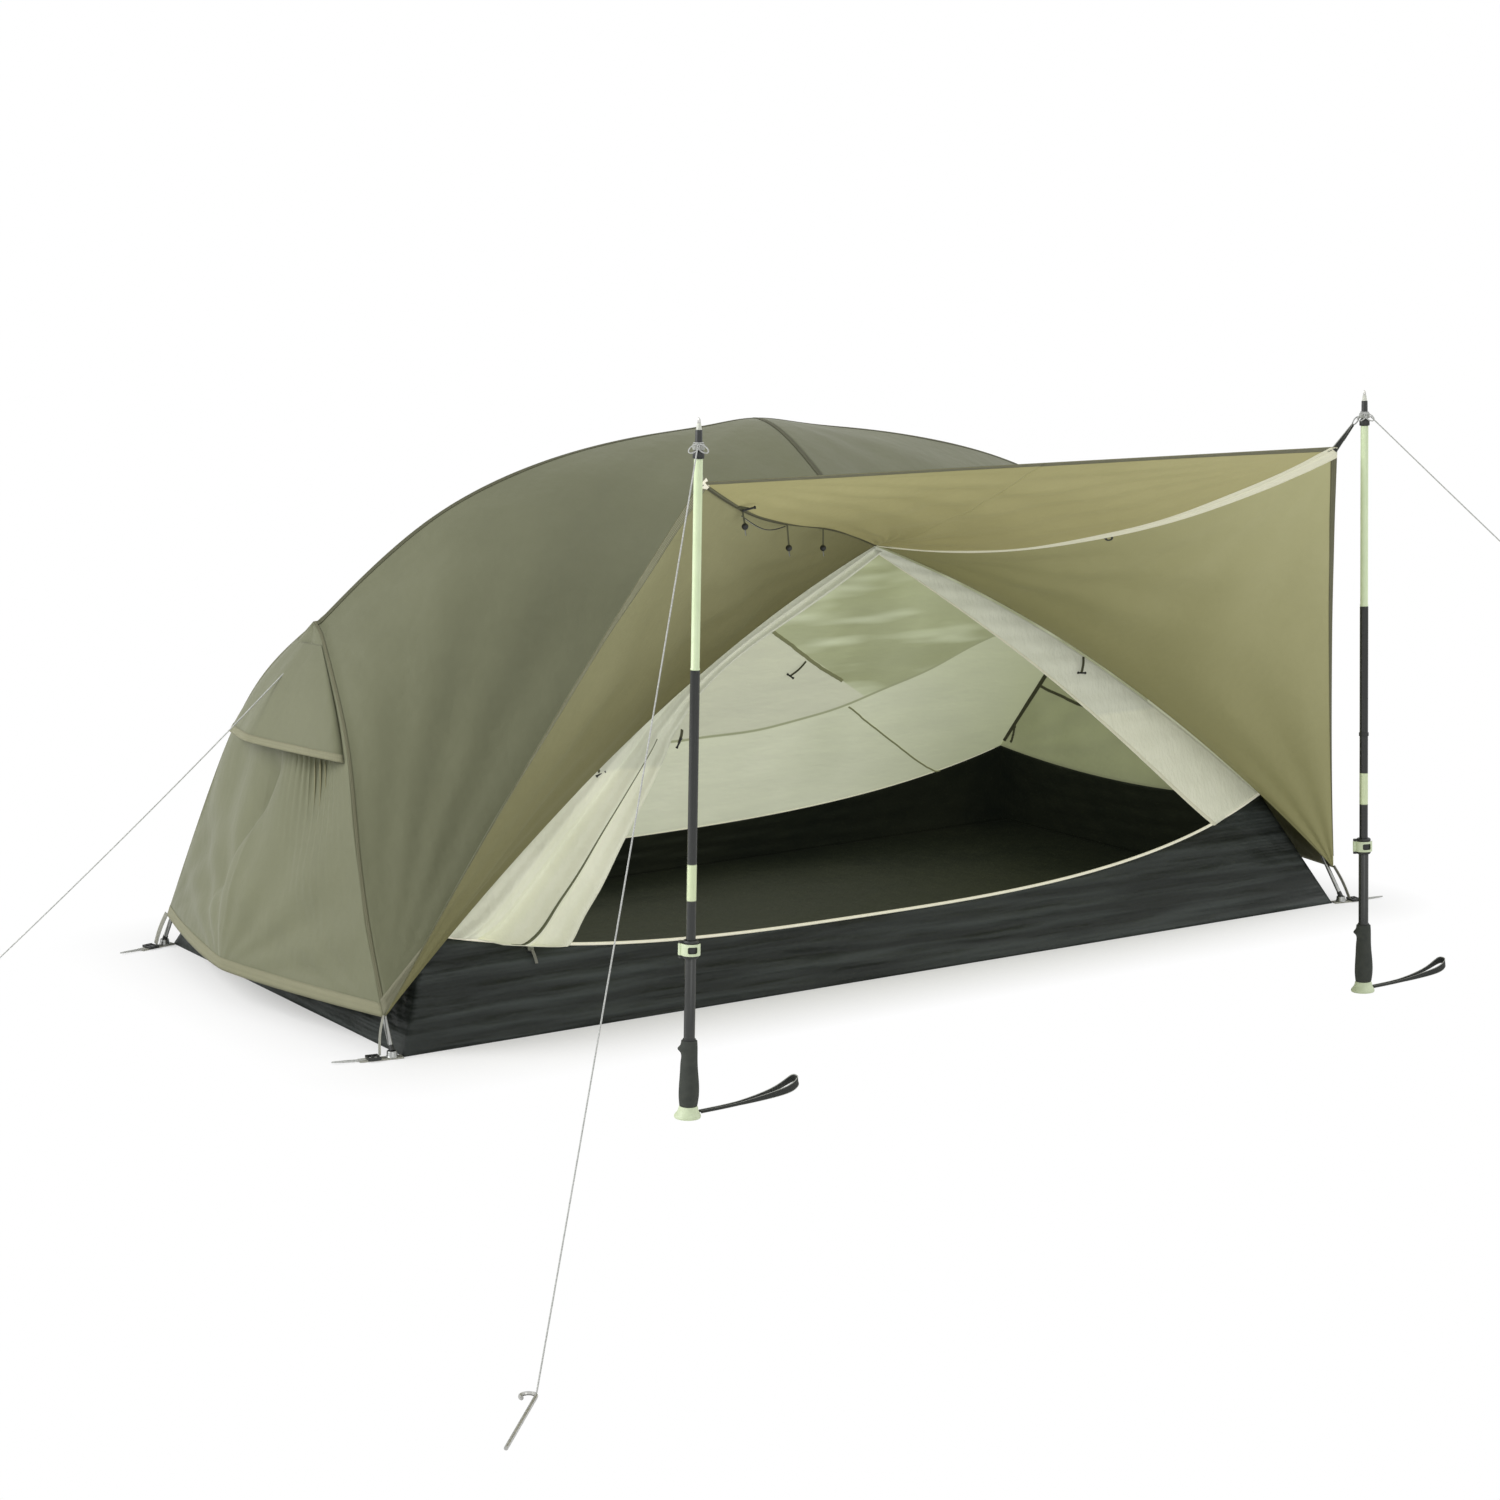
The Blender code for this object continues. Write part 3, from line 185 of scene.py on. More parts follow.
def srgb(*levels):
    """A colour as a picture editor shows it, 0 to 255, turned into the light values that Blender uses."""
    c = np.array(levels, float) / 255.0
    return tuple(float(v) for v in np.where(c < 0.04045, c / 12.92, ((c + 0.055) / 1.055) ** 2.4))


def finish_of(name, recipe, **plain):
    """A material. plain sets sockets that stay the same all over, and recipe returns those that vary."""
    material = bpy.data.materials.new(name)
    material.use_nodes = True
    tree = material.node_tree
    shader = tree.nodes["Principled BSDF"]
    for key, value in plain.items():
        shader.inputs[key.replace("_", " ")].default_value = value
    place, cloth = (Sock(tree, tree.nodes.new("ShaderNodeTexCoord").outputs[key]) for key in ("Object", "UV"))
    for key, value in recipe(place, cloth).items():
        if isinstance(value, Sock):
            tree.links.new(value.socket, shader.inputs[key])
        else:
            shader.inputs[key].default_value = (*value, 1.0)
    return material


def bumped(height, distance=1.0, strength=1.0):
    return height.node("ShaderNodeBump", None, 0, Strength=strength, Distance=distance, Height=height)


print("shader helpers ready")

# %% [markdown]
# Cloth panels are cut and sewn flat, then stretched over a bent frame, so each one is a surface between
# four edge curves. A Coons patch is the exact recipe for that: blend the two pairs of edges across the
# panel, and take away the flat sheet through the corners that was counted twice. The edges are natural
# cubic curves through a few known points.

# %% Curves and patches
def unit(v):
    return v / np.maximum(np.linalg.norm(v, axis=-1, keepdims=True), 1e-12)


def steps(curve):
    """Length walked along a curve at each of its points."""
    return np.concatenate([[0.0], np.cumsum(np.linalg.norm(np.diff(curve, axis=0), axis=1))])


def spline(points, count):
    """A natural cubic: between two knots it is a x0 + b x1 + ((a^3-a) k0 + (b^3-b) k1) h^2/6, with the bends
    k solved so that slopes agree at the knots."""
    knots = np.asarray(points, float)
    at = steps(knots)
    n = len(knots)
    h = np.linalg.norm(np.diff(knots, axis=0), axis=1)
    system, wanted = np.eye(n), np.zeros_like(knots)
    inner = np.arange(1, n - 1)
    system[inner, inner - 1], system[inner, inner + 1] = h[:-1], h[1:]
    system[inner, inner] = 2 * (h[:-1] + h[1:])
    wanted[1:-1] = 6 * np.diff(np.diff(knots, axis=0) / h[:, None], axis=0)
    bend = np.linalg.solve(system, wanted)
    s = np.linspace(0.0, at[-1], count)
    k = np.clip(np.searchsorted(at, s, side="right") - 1, 0, n - 2)
    a = ((at[k + 1] - s) / h[k])[:, None]
    b = 1 - a
    curved = (a ** 3 - a) * bend[k] + (b ** 3 - b) * bend[k + 1]
    return a * knots[k] + b * knots[k + 1] + curved * h[k, None] ** 2 / 6


def evenly(curve, count):
    """The same curve with its points at equal steps of length."""
    at = steps(curve)
    s = np.linspace(0.0, at[-1], count)
    return np.stack([np.interp(s, at, curve[:, k]) for k in range(3)], axis=1)


def line(start, end, count):
    t = np.linspace(0.0, 1.0, count)[:, None]
    return (1 - t) * np.asarray(start, float) + t * np.asarray(end, float)


def bow(count):
    """An arch over a run: 4 t (1-t), 0 at both ends and 1 in the middle."""
    t = np.linspace(0.0, 1.0, count)
    return 4 * t * (1 - t)


def shares(columns, rows, u=(0.0, 1.0), v=(0.0, 1.0)):
    """Shares along and down for a grid, each from its first value to its second."""
    return np.meshgrid(np.linspace(*u, columns), np.linspace(*v, rows))


def coons(top, bottom, left, right):
    """Coons patch: (1-v) top + v bottom + (1-u) left + u right - the bilinear sheet through the corners."""
    u = np.linspace(0.0, 1.0, len(top))[None, :, None]
    v = np.linspace(0.0, 1.0, len(left))[:, None, None]
    corners = (1 - v) * ((1 - u) * top[0] + u * top[-1]) + v * ((1 - u) * bottom[0] + u * bottom[-1])
    return (1 - v) * top[None] + v * bottom[None] + (1 - u) * left[:, None] + u * right[:, None] - corners


def normals(grid):
    """Cross product of the steps down and along a grid, which is outward where the rows run that way."""
    return unit(np.cross(np.gradient(grid, axis=0), np.gradient(grid, axis=1)) + 1e-15)


def read(grid, u, v):
    """Points of a grid at shares u along and v down, between its own points in straight steps."""
    rows, columns = grid.shape[:2]
    x = np.clip(np.asarray(u, float), 0, 1) * (columns - 1)
    y = np.clip(np.asarray(v, float), 0, 1) * (rows - 1)
    i, j = np.minimum(x.astype(int), columns - 2), np.minimum(y.astype(int), rows - 2)
    a, b = (x - i)[..., None], (y - j)[..., None]
    return ((1 - b) * ((1 - a) * grid[j, i] + a * grid[j, i + 1])
            + b * ((1 - a) * grid[j + 1, i] + a * grid[j + 1, i + 1]))


def patch(grid, u, v, lift=0.0, size=(60, 6)):
    """A band that lies on a grid: the part between shares u and v, raised along the normal by lift."""
    u, v = shares(*size, u, v)
    return read(grid, u, v) + lift * unit(read(normals(grid), u, v))


print("curve helpers ready")

# %% [markdown]
# Three thin guylines come before the rest, because a cord has a real length and must lie where its solid
# lies. Each is a taut braided cord from a pole's top, or from the foot end, down to a wire stake. A curve
# object with a round bevel is the simplest cord there is, and its own points are its centre line. Only a
# mesh can bend between two bodies, so the two cords that end on a pole are turned into meshes.

# %% Guylines
CORD_RADIUS, STAKE_RADIUS, FERRULE_START = 0.0012, 0.0028, 1.085
POLES = {"left": (np.array([-0.900, -1.095, 0.0]), np.array([-0.874, -1.095, 1.150])),
         "right": (np.array([0.622, -1.140, 0.0]), np.array([0.613, -1.095, 1.150]))}
STAKES = {"left": (-1.70, -1.98), "right": (1.46, -1.98), "foot": (-1.86, 0.0)}
KNOT_HEIGHT, KNOT_REACH, CORD_SAG = FERRULE_START + 0.0175, 0.0109, 0.012


def floats(point):
    return tuple(float(c) for c in point)


def on_pole(word, height):
    """The point of a pole's axis at a height measured along it."""
    foot, tip = POLES[word]
    return foot + (tip - foot) / np.linalg.norm(tip - foot) * height


def taut(start, stop):
    """A straight run that hangs by a bow of CORD_SAG in its middle."""
    run = line(start, stop, 7)
    run[:, 2] -= CORD_SAG * bow(7)
    return spline(run, 20)


def cord_curve(name, points, radius, material, body="tent"):
    """A round cord along points, as one open curve."""
    curve = bpy.data.curves.new(name, "CURVE")
    curve.dimensions, curve.use_fill_caps = "3D", True
    curve.bevel_depth, curve.bevel_resolution = radius, 3
    run = curve.splines.new("POLY")
    run.points.add(len(points) - 1)
    run.points.foreach_set("co", np.column_stack([points, np.ones(len(points))]).ravel())
    made = bpy.data.objects.new(name, curve)
    curve.materials.append(material)
    bpy.context.collection.objects.link(made)
    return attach(made, body) if body else made


def as_mesh(made):
    """The same tube as a mesh, because only a mesh can bend between two bodies."""
    tube = bpy.data.objects.new("tube", bpy.data.meshes.new_from_object(made))
    bpy.context.collection.objects.link(tube)
    name = made.name
    bpy.data.objects.remove(made)
    tube.name = name
    return tube


def follow_pole(made, word):
    """Bakes the piece's place into its mesh, where it stays."""
    word + "_pole_upper"
    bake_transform(made)


def guy_finish(place, cloth):
    fleck = place.noise(420.0, 1.0)
    twist = (place.axis("X") * 2600.0 + place.axis("Z") * 2600.0).sin()
    return {"Base Color": fleck.above(0.5, 0.2).mix(srgb(168, 170, 166), srgb(204, 205, 201)),
            "Normal": bumped(twist, 0.0002, 0.5)}


GUY = finish_of("guy cord", guy_finish, Roughness=0.7)
guy_tops = {}
for word in POLES:
    top = on_pole(word, KNOT_HEIGHT)
    guy_tops[word] = top + unit(np.array([*STAKES[word], 0.0]) - top * (X + Y)) * KNOT_REACH
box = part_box("guyline_foot")
guy_tops["foot"] = np.array([box[1][0] - 0.0010, 0.0, box[1][2] - 0.0010])
for word, start in guy_tops.items():
    stop = np.array([*STAKES[word], 2 * STAKE_RADIUS + CORD_RADIUS])
    points = taut(start, stop)
    made = cord_curve("guy_cord_" + word, points, CORD_RADIUS, GUY, None if word in POLES else "tent")
    path = {}
    if word in POLES:
        made, path = as_mesh(made), {"path": [floats(point) for point in points]}
        follow_pole(made, word)
    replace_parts(made, "guyline_" + word)
    length = float(steps(points)[-1])
    "guy_stake_" + word
    print("guyline %s: %.2f m" % (word, length))

# %% [markdown]
# The tent's skeleton decides where every panel hangs. These lines are the ridge pole, the four legs and the
# short cross pole at the brow, each a cubic through a few shoulders. The fly's seams run a finger's width
# outside them.

# %% Lines of the frame and of the fly's seams
HUB = {FOOT: np.array([-1.02, 0.0, 0.705]), HEAD: np.array([1.02, 0.0, 0.745])}
SHOULDERS = [(-0.78, 0, 0.885), (-0.45, 0, 1.003), (-0.05, 0, 1.040), (0.40, 0, 1.000), (0.75, 0, 0.900)]
BROW_X, BROW_RISE, BROW_RADIUS, BROW_STAND, POLE_RADIUS = -0.02, 0.016, 0.0043, 0.0038, 0.0045
BROW_HALF = [(0.405, 0.838), (0.20, 0.974)]
LEG_SHAPE = ((0.30, 0.28, 0.851), (0.475, 0.454, 0.709), (0.70, 0.62, 0.495), (0.885, 0.80, 0.255))
LEG_OUT, LEG_REACH, LEG_TIP = 1.142, {FOOT: 0.505, HEAD: 0.568}, 0.0128
FLY_STAND, RIDGE_OVERHANG, HEM_HEIGHT, REAR_HEM_Y = 0.0105, 0.010, 0.065, 0.64
CREASE_BOW, CREASE_GAP, HEM_BULGE = 0.08, 0.0010, {FOOT: 0.095, HEAD: 0.075}
AWNING_CORNER = {FOOT: np.array([-0.858, -1.072, 1.045]), HEAD: np.array([0.568, -1.074, 1.045])}
ridge = spline([HUB[FOOT], *SHOULDERS, HUB[HEAD]], 241)


def ridge_height(x):
    """Height of the ridge pole's centre line at x."""
    return np.interp(x, ridge[:, 0], ridge[:, 2])


def leg(end, side, count=60):
    """From the hub down to the floor's corner; out, across and up are shares of the way."""
    hub = HUB[end]
    knots = [hub] + [(hub[0] + (end * LEG_OUT - hub[0]) * out, side * LEG_REACH[end] * across, hub[2] * high)
                     for out, across, high in (*LEG_SHAPE, (1.0, 1.0, LEG_TIP / hub[2]))]
    return spline(knots, count)


def brow(count=61):
    """The short cross pole, mirrored about its top over the ridge."""
    top = float(ridge_height(BROW_X)) + BROW_RISE
    return spline([*((BROW_X, -y, z) for y, z in BROW_HALF), (BROW_X, 0, top),
                   *((BROW_X, y, z) for y, z in BROW_HALF[::-1])], count)


def fly_ridge(x):
    """The ridge seam, lifted by a bell-shaped hump where it crosses the brow pole."""
    hump = (BROW_RISE + BROW_RADIUS + 0.0006 + BROW_STAND - FLY_STAND) * np.exp(-((x - BROW_X) / 0.11) ** 2)
    return np.stack([x, 0 * x, ridge_height(x) + FLY_STAND + hump], axis=1)


def leg_seam(end, side, count):
    """The leg's line moved outwards by FLY_STAND, from the ridge seam down to the hem."""
    seam = leg(end, side) + unit(np.array([end * 0.55, side * 0.62, 0.56])) * FLY_STAND
    above = seam[seam[:, 2] > HEM_HEIGHT]
    start = fly_ridge(np.array([leg(end, side)[0, 0]]))[0] + end * RIDGE_OVERHANG * X
    return evenly(np.vstack([start, above[2:]]), count)


def brow_seam(side, count):
    """Half of the brow pole's line moved off it along its normal, and a little past its end."""
    half = brow()[:31][::-1] if side < 0 else brow()[30:]
    slope = unit(np.gradient(half, axis=0))
    outward = np.stack([np.zeros(31), side * np.abs(slope[:, 2]), np.abs(slope[:, 1])], axis=1)
    seam = half + outward * (BROW_RADIUS + 0.0006 + BROW_STAND)
    seam[0] = fly_ridge(np.array([BROW_X]))[0]
    return evenly(np.vstack([seam, seam[-1] + slope[-1] * 0.012]), count)


def leg_corner(end, side=FRONT):
    """Where the fly's leg seam ends at the hem."""
    return leg_seam(end, side, 30)[-1]


apex = brow_seam(FRONT, 30)[-1]


def crease(end, count):
    """The fold between the body and the awning's side, bowed up by CREASE_BOW."""
    fold = line(leg_corner(end), apex, count)
    fold[:, 2] += CREASE_BOW * bow(count)
    return fold


def end_hem(end, count):
    """The hem of an end panel, bulging out by HEM_BULGE (1 - |2t-1|^1.35)."""
    t = np.linspace(0.0, 1.0, count)
    hem = line(leg_corner(end), leg_corner(end, REAR), count)
    hem[:, 0] += end * HEM_BULGE[end] * (1 - np.abs(2 * t - 1) ** 1.35)
    return hem


print("peak %.3f m" % fly_ridge(np.array([BROW_X]))[0, 2])

# %% [markdown]
# Coated ripstop nylon is a fine plain weave with a thicker thread every few millimetres, so it shows as a
# faint grid of squares. The fly is a matt grey olive outside. Its inside, which the raised awning shows, is
# more golden, because the light comes through the cloth; that light is painted, as a glow of the cloth's own
# tone, and the awning's front part is painted darker, as painted shade. Both read the cloth's own UV map,
# which is in metres along the cloth.

# %% Cloth finishes
def ripstop(cloth, pitch=0.006):
    """Height of the weave: two sine threads, plus a ridge where a thread of the ripstop grid runs."""
    across, down, turns = cloth.axis("X"), cloth.axis("Y"), 2 * math.pi / pitch
    grid = (((across * turns).sin() ** 2.0).above(0.985, 0.012)
            + ((down * turns).sin() ** 2.0).above(0.985, 0.012))
    return grid * 0.6 + cloth.noise(1400.0, 1.0) * 0.5


def cloth_tones(dark, light, lit_from_behind=None):
    """Slow drifts of tone over half a metre, crumples over a few centimetres, and the weave."""
    def recipe(place, cloth):
        drift = place.noise(2.2, 2.0, 0.5) * 0.75 + place.noise(19.0, 3.0, 0.6) * 0.25
        crumple = place.noise(9.0, 3.0, 0.55, stretch=(1.0, 1.0, 0.45))
        relief = crumple * 0.010 + place.noise(46.0, 2.0, 0.5) * 0.0016 + ripstop(cloth) * 0.0001
        tone = drift.above(0.5, 0.22).mix(dark, light)
        made = {"Roughness": 0.52 + drift * 0.16, "Normal": bumped(relief, 1.0, 0.55)}
        if lit_from_behind:
            # Painted shade: towards the awning's front the tone goes over to the darker third tone. Painted
            # light: the cloth glows with its tone, standing for light that comes through it.
            forward_share = (0.0 - place.axis("Y")).above(0.74, 0.30)
            tone = forward_share.mix(lit_from_behind, tone)
            made["Emission Color"] = tone
        return {"Base Color": tone, **made}
    return recipe


def nylon(name, dark, light, behind=None, glow=0.0, gloss=0.3, **more):
    """A cloth finish. Its third tone is painted on the awning's front part as painted shade, and glow is a
    painted glow of its tone, for light coming through the cloth.
    """
    glowing = {"Emission_Strength": glow} if behind else {}
    return finish_of(name, cloth_tones(dark, light, behind), Specular_IOR_Level=gloss, **glowing, **more)


FLY = nylon("fly, grey olive nylon", srgb(102, 104, 79), srgb(113, 115, 89), gloss=0.35, Sheen_Weight=0.12)
GOLD = nylon("awning, lit from behind", srgb(158, 153, 108), srgb(166, 161, 116), srgb(146, 140, 96), 0.30)
# The two sides of the awning are the same cloth: the right one gets lighter tones and more glow, painted
# light, and the left one darker tones, painted shade.
WING = {FOOT: nylon("awning side left, lit from behind", srgb(140, 138, 102), srgb(150, 148, 112),
                    srgb(108, 105, 70), 0.20),
        HEAD: nylon("awning side right, lit from behind", srgb(160, 158, 117), srgb(170, 168, 127),
                    srgb(128, 125, 84), 0.28)}
LINING = nylon("fly, coated inner face", srgb(118, 116, 84), srgb(130, 127, 95), gloss=0.35)
print("cloth finishes:", FLY.name, "|", GOLD.name, "|", LINING.name)

# %% [markdown]
# A panel goes into Blender as one grid of quads. The numbers are worked out for the whole grid at once, and
# the UV map gets the length walked along each row and column, so the weave keeps its scale over a curved
# panel. Solidify gives the cloth its thickness, and a second material slot gives it its other side.

# %% From a grid to a piece of cloth
PANEL_TABLE = []


def put_mesh(name, vertices, faces, materials, body, uv=None, smooth=True):
    """A mesh object that rides on a body, or on none yet if it is to bend between two."""
    mesh = bpy.data.meshes.new(name)
    faces = faces if isinstance(faces, list) else faces.tolist()
    mesh.from_pydata(np.asarray(vertices).reshape(-1, 3).tolist(), [], faces)
    if uv is not None:
        layer = mesh.uv_layers.new(name="cloth")
        loops = np.empty(len(mesh.loops), int)
        mesh.loops.foreach_get("vertex_index", loops)
        layer.data.foreach_set("uv", np.asarray(uv).reshape(-1, 2)[loops].ravel())
    mesh.polygons.foreach_set("use_smooth", np.full(len(mesh.polygons), smooth))
    for material in materials:
        mesh.materials.append(material)
    made = bpy.data.objects.new(name, mesh)
    bpy.context.collection.objects.link(made)
    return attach(made, body) if body else made


def quads(rows, columns, closed=False):
    """Corner numbers of a grid's quads, closed round the columns where the last meets the first."""
    j, i = np.meshgrid(np.arange(rows - 1), np.arange(columns if closed else columns - 1), indexing="ij")
    n = (i + 1) % columns
    corners = [j * columns + i, (j + 1) * columns + i, (j + 1) * columns + n, j * columns + n]
    return np.stack(corners, -1).reshape(-1, 4)


def facing(grid, way):
    """The grid turned so that its outward side looks the given way."""
    return grid if normals(grid).mean((0, 1)) @ np.asarray(way, float) > 0 else grid[:, ::-1]


def walked(grid):
    """UV in metres: the mean length of the rows along, and of the columns down."""
    along, down = (np.concatenate([[0], np.cumsum(np.linalg.norm(np.diff(grid, axis=a), axis=2).mean(b))])
                   for a, b in ((1, 0), (0, 1)))
    return np.stack(np.meshgrid(along, down), axis=-1)


def size_of(grid):
    """Width and height of a grid, walked along the cloth."""
    return walked(grid)[-1, -1]


def area_of(grid):
    """Sum over the quads of half the cross product of their diagonals."""
    a = grid[1:, 1:] - grid[:-1, :-1]
    b = grid[1:, :-1] - grid[:-1, 1:]
    return float(np.linalg.norm(np.cross(a, b), axis=2).sum() / 2)


def thicken(made, thick):
    """Gives a sheet its thickness, half to each side of the grid."""
    wall = made.modifiers.new("thickness", "SOLIDIFY")
    wall.thickness, wall.offset = thick, 0.0
    return wall


def cloth(name, grids, outside, inside=None, body="tent", thick=0.0009, replaces=(), slot="fly_olive", on=()):
    """One piece of cloth from one grid or several. Its outside is the side that the normals point to."""
    grids = grids if isinstance(grids, list) else [grids]
    firsts = np.cumsum([0] + [g.shape[0] * g.shape[1] for g in grids])
    faces = np.concatenate([quads(*g.shape[:2]) + first for g, first in zip(grids, firsts)])
    uv = np.concatenate([walked(g).reshape(-1, 2) for g in grids])
    made = put_mesh(name, np.concatenate([g.reshape(-1, 3) for g in grids]), faces,
                    [outside, inside or outside], body, uv)
    made.modifiers.new("close the points", "WELD").merge_threshold = 0.00002
    thicken(made, thick).material_offset = 1
    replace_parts(made, *replaces)
    area, wide = sum(area_of(g) for g in grids), float(size_of(grids[0])[0])
    PANEL_TABLE.append((name, area))
    return made


def edge_folds(grid, u0, v0, count, height, reach, phase=0.0):
    """Folds that fan out from one spot of a panel: sin(count * angle) * height * (r/reach) e^(1-r/reach)."""
    size = size_of(grid)
    u, v = shares(*grid.shape[1::-1])
    dx, dy = (u - u0) * size[0], (v - v0) * size[1]
    r = np.hypot(dx, dy) / reach
    return (np.sin(count * np.arctan2(dy, dx) + phase) * height * r * np.exp(1 - r))[..., None]


def calm_edges(grid, power=0.35):
    """1 over a panel and 0 at its four edges, so folds never move a seam."""
    u, v = shares(*grid.shape[1::-1])
    return ((16 * u * (1 - u) * v * (1 - v)) ** power)[..., None]


def creased(grid, spots=(), more=0.0, power=0.35):
    """A panel moved along its normals by the folds of its spots and by more, with its edges kept in place."""
    moved = sum(edge_folds(grid, *spot) for spot in spots) + more
    return grid + normals(grid) * moved * calm_edges(grid, power)


def ripple(grid, wave, height, turn=0.0, phase=0.0):
    """Long soft waves across a panel, in metres along the cloth."""
    size = walked(grid)
    s = size[..., 0] * math.cos(turn) + size[..., 1] * math.sin(turn)
    return (np.sin(2 * math.pi * s / wave + phase) * height)[..., None]


print("cloth helpers ready")

# %% [markdown]
# The fly has two panels at the front, one long panel behind and one at each end, sewn along the ridge, the
# legs and the brow. Each is a Coons patch between its seams. Real panels are pulled at their corners, so
# folds fan out from the hubs and the hem corners and die away towards the middle of the cloth.

# %% Fly panels
def body_panel(end, side, rows=90, columns=90):
    """Coons patch between ridge seam, leg seam, brow seam and the crease in front or the hem behind."""
    top = fly_ridge(np.linspace(HUB[end][0] + end * RIDGE_OVERHANG, BROW_X, columns))
    outer = leg_seam(end, side, rows)
    if side == FRONT:
        inner, bottom = brow_seam(side, rows), crease(end, columns)
    else:
        hem = np.array([BROW_X, REAR_HEM_Y, HEM_HEIGHT])
        seam = brow_seam(side, rows // 2)
        inner = evenly(np.vstack([seam, line(seam[-1], hem, 20)[1:]]), rows)
        bottom = line(outer[-1], hem, columns)
    top[0] = outer[0]
    return coons(top, bottom, outer, inner)


def end_panel(end, rows=130, columns=260):
    """Coons patch from the hub's point to the bulging hem, between the two leg seams."""
    top = np.repeat(leg_seam(end, FRONT, 3)[:1], columns, axis=0)
    return coons(top, end_hem(end, columns), leg_seam(end, FRONT, rows), leg_seam(end, REAR, rows))


def pulls_under_hood(grid):
    """Pleats below the front half of the vent's edge, a soft ridge down to the pulled hem, and a valley that
    runs from the vent towards the rear corner."""
    u, v = shares(*grid.shape[1::-1])
    below = np.clip((v - 0.405) / 0.03, 0, 1) * np.exp(-np.clip(v - 0.435, 0, 1) / 0.13)
    gathers = np.sin(2 * math.pi * 34 * u * (1.15 - 0.15 * v)) * np.exp(-((u - 0.20) / 0.10) ** 2)
    pleats = 0.0032 * gathers * below
    soft_ridge = (np.exp(-np.abs(u - 0.5) / 0.07) * np.clip((v - 0.5) / 0.3, 0, 1)
                  * np.clip((1 - v) / 0.1, 0, 1))
    off_line = u - (0.40 + 0.60 * (v - 0.42))
    valley = np.exp(-np.where(off_line > 0, off_line / 0.12, -off_line / 0.030))
    valley = valley * np.clip((v - 0.42) / 0.06, 0, 1) * np.clip((0.92 - v) / 0.35, 0, 1)
    outward = (facing(grid, (FOOT, 0, 0.4)) is grid or -1) * normals(grid)
    return outward * (pleats + 0.014 * soft_ridge - 0.022 * valley)[..., None]


FRONT_FOLDS = [(0, 0, 15, 0.0016, 0.30, 0.4), (0, 1, 17, 0.0024, 0.38, 0.9), (1, 0, 13, 0.0012, 0.25, 0.2),
               (1, 1, 19, 0.0017, 0.30, 1.3)]
REAR_FOLDS = {
    FOOT: [(0, 0, 15, 0.0030, 0.30, 1.4), (0, 1, 17, 0.0050, 0.40, 0.2), (1, 0.5, 11, 0.0030, 0.3, 2)],
    HEAD: [(0, 0, 15, 0.0030, 0.30, 0.1), (0, 1, 17, 0.0050, 0.40, 2.2), (1, 0.5, 11, 0.0030, 0.3, 1)]}
END_FOLDS = [(0.5, 1, 15, 0.0045, 0.35, 0.6), (0, 1, 13, 0.0030, 0.22, 0.1), (1, 1, 13, 0.0030, 0.22, 2.1)]
fly_front, fly_end = {}, {}
for word, end in LEFT_RIGHT:
    fly_front[end] = facing(creased(body_panel(end, FRONT), FRONT_FOLDS), (0, -1, 1))
    cloth("fly_cloth_front_" + word, fly_front[end], FLY, LINING, replaces=["fly_front_" + word],
          on=["brow_tube"])
rear_left, rear_right = (creased(body_panel(end, REAR), REAR_FOLDS[end]) for end in (FOOT, HEAD))
fly_rear = facing(np.concatenate([rear_left, rear_right[:, ::-1][:, 1:]], axis=1), (0, 1, 1))
cloth("fly_cloth_rear", fly_rear, FLY, LINING, replaces=["fly_rear"], on=["brow_tube"])
for end, word in ENDS:
    flat = end_panel(end)
    if end == FOOT:
        flat = flat + pulls_under_hood(flat)
    fly_end[end] = facing(creased(flat, END_FOLDS), (end, 0, 0.4))
    cloth("fly_cloth_%s_end" % word, fly_end[end], FLY, LINING, replaces=["fly_%s_end" % word],
          on=["hub_ball_" + word])
print("fly panels:", len(PANEL_TABLE), "total %.2f m2" % sum(area for _, area in PANEL_TABLE))

# %% [markdown]
# A seam on a fly is felled: the two edges are folded into each other and sewn down, which leaves a flat
# raised band about 8 mm wide with a row of stitches along each side. A band that follows the panel's own
# grid can never float or sink, so each one is a strip read from the panel near its edge and lifted about a
# millimetre.

# %% Seams and hems of the fly
STITCH_STEP = 0.0032


def stitched(dark, light):
    """Two rows of stitches along the band's edges, from the UV's distance across and along."""
    def recipe(place, cloth):
        along, across = cloth.axis("X"), cloth.axis("Y")
        stitch = (along * (2 * math.pi / STITCH_STEP)).sin().above(0.1, 0.3)
        row = ((across * (2 * math.pi)).sin().abs()).above(0.55, 0.1)
        tone = place.noise(24.0, 2.0)
        return {"Base Color": (stitch * row * 0.55 + tone * 0.45).mix(dark, light),
                "Roughness": 0.6 + tone * 0.1,
                "Normal": bumped(stitch * row * 0.0004 + place.noise(300.0, 1.0) * 0.0002)}
    return recipe


# The lit felled seam is a lighter copy of the plain felled seam: painted light.
SEAM, LEG_SEAM, HEM, STRIP = (finish_of(name, stitched(srgb(*dark), srgb(*light)), Specular_IOR_Level=0.3)
                              for name, dark, light in (
    ("felled seam, stitched", (80, 80, 60), (100, 100, 78)),
    ("felled seam, lit", (106, 105, 82), (126, 125, 100)),
    ("hem binding, stitched", (128, 127, 102), (144, 143, 116)),
    ("zip flap, stitched", (116, 115, 94), (132, 131, 108))))


def band(name, grid, material, body="tent", thick=0.0006):
    """A raised strip. Its UV runs in metres along it, and from 0 to 1 across it."""
    along = walked(grid)[..., 0]
    across = np.linspace(0, 1, grid.shape[0])[:, None] + 0 * along
    made = put_mesh(name, grid, quads(*grid.shape[:2]), [material], body, np.stack([along, across], -1))
    thicken(made, thick)
    return made


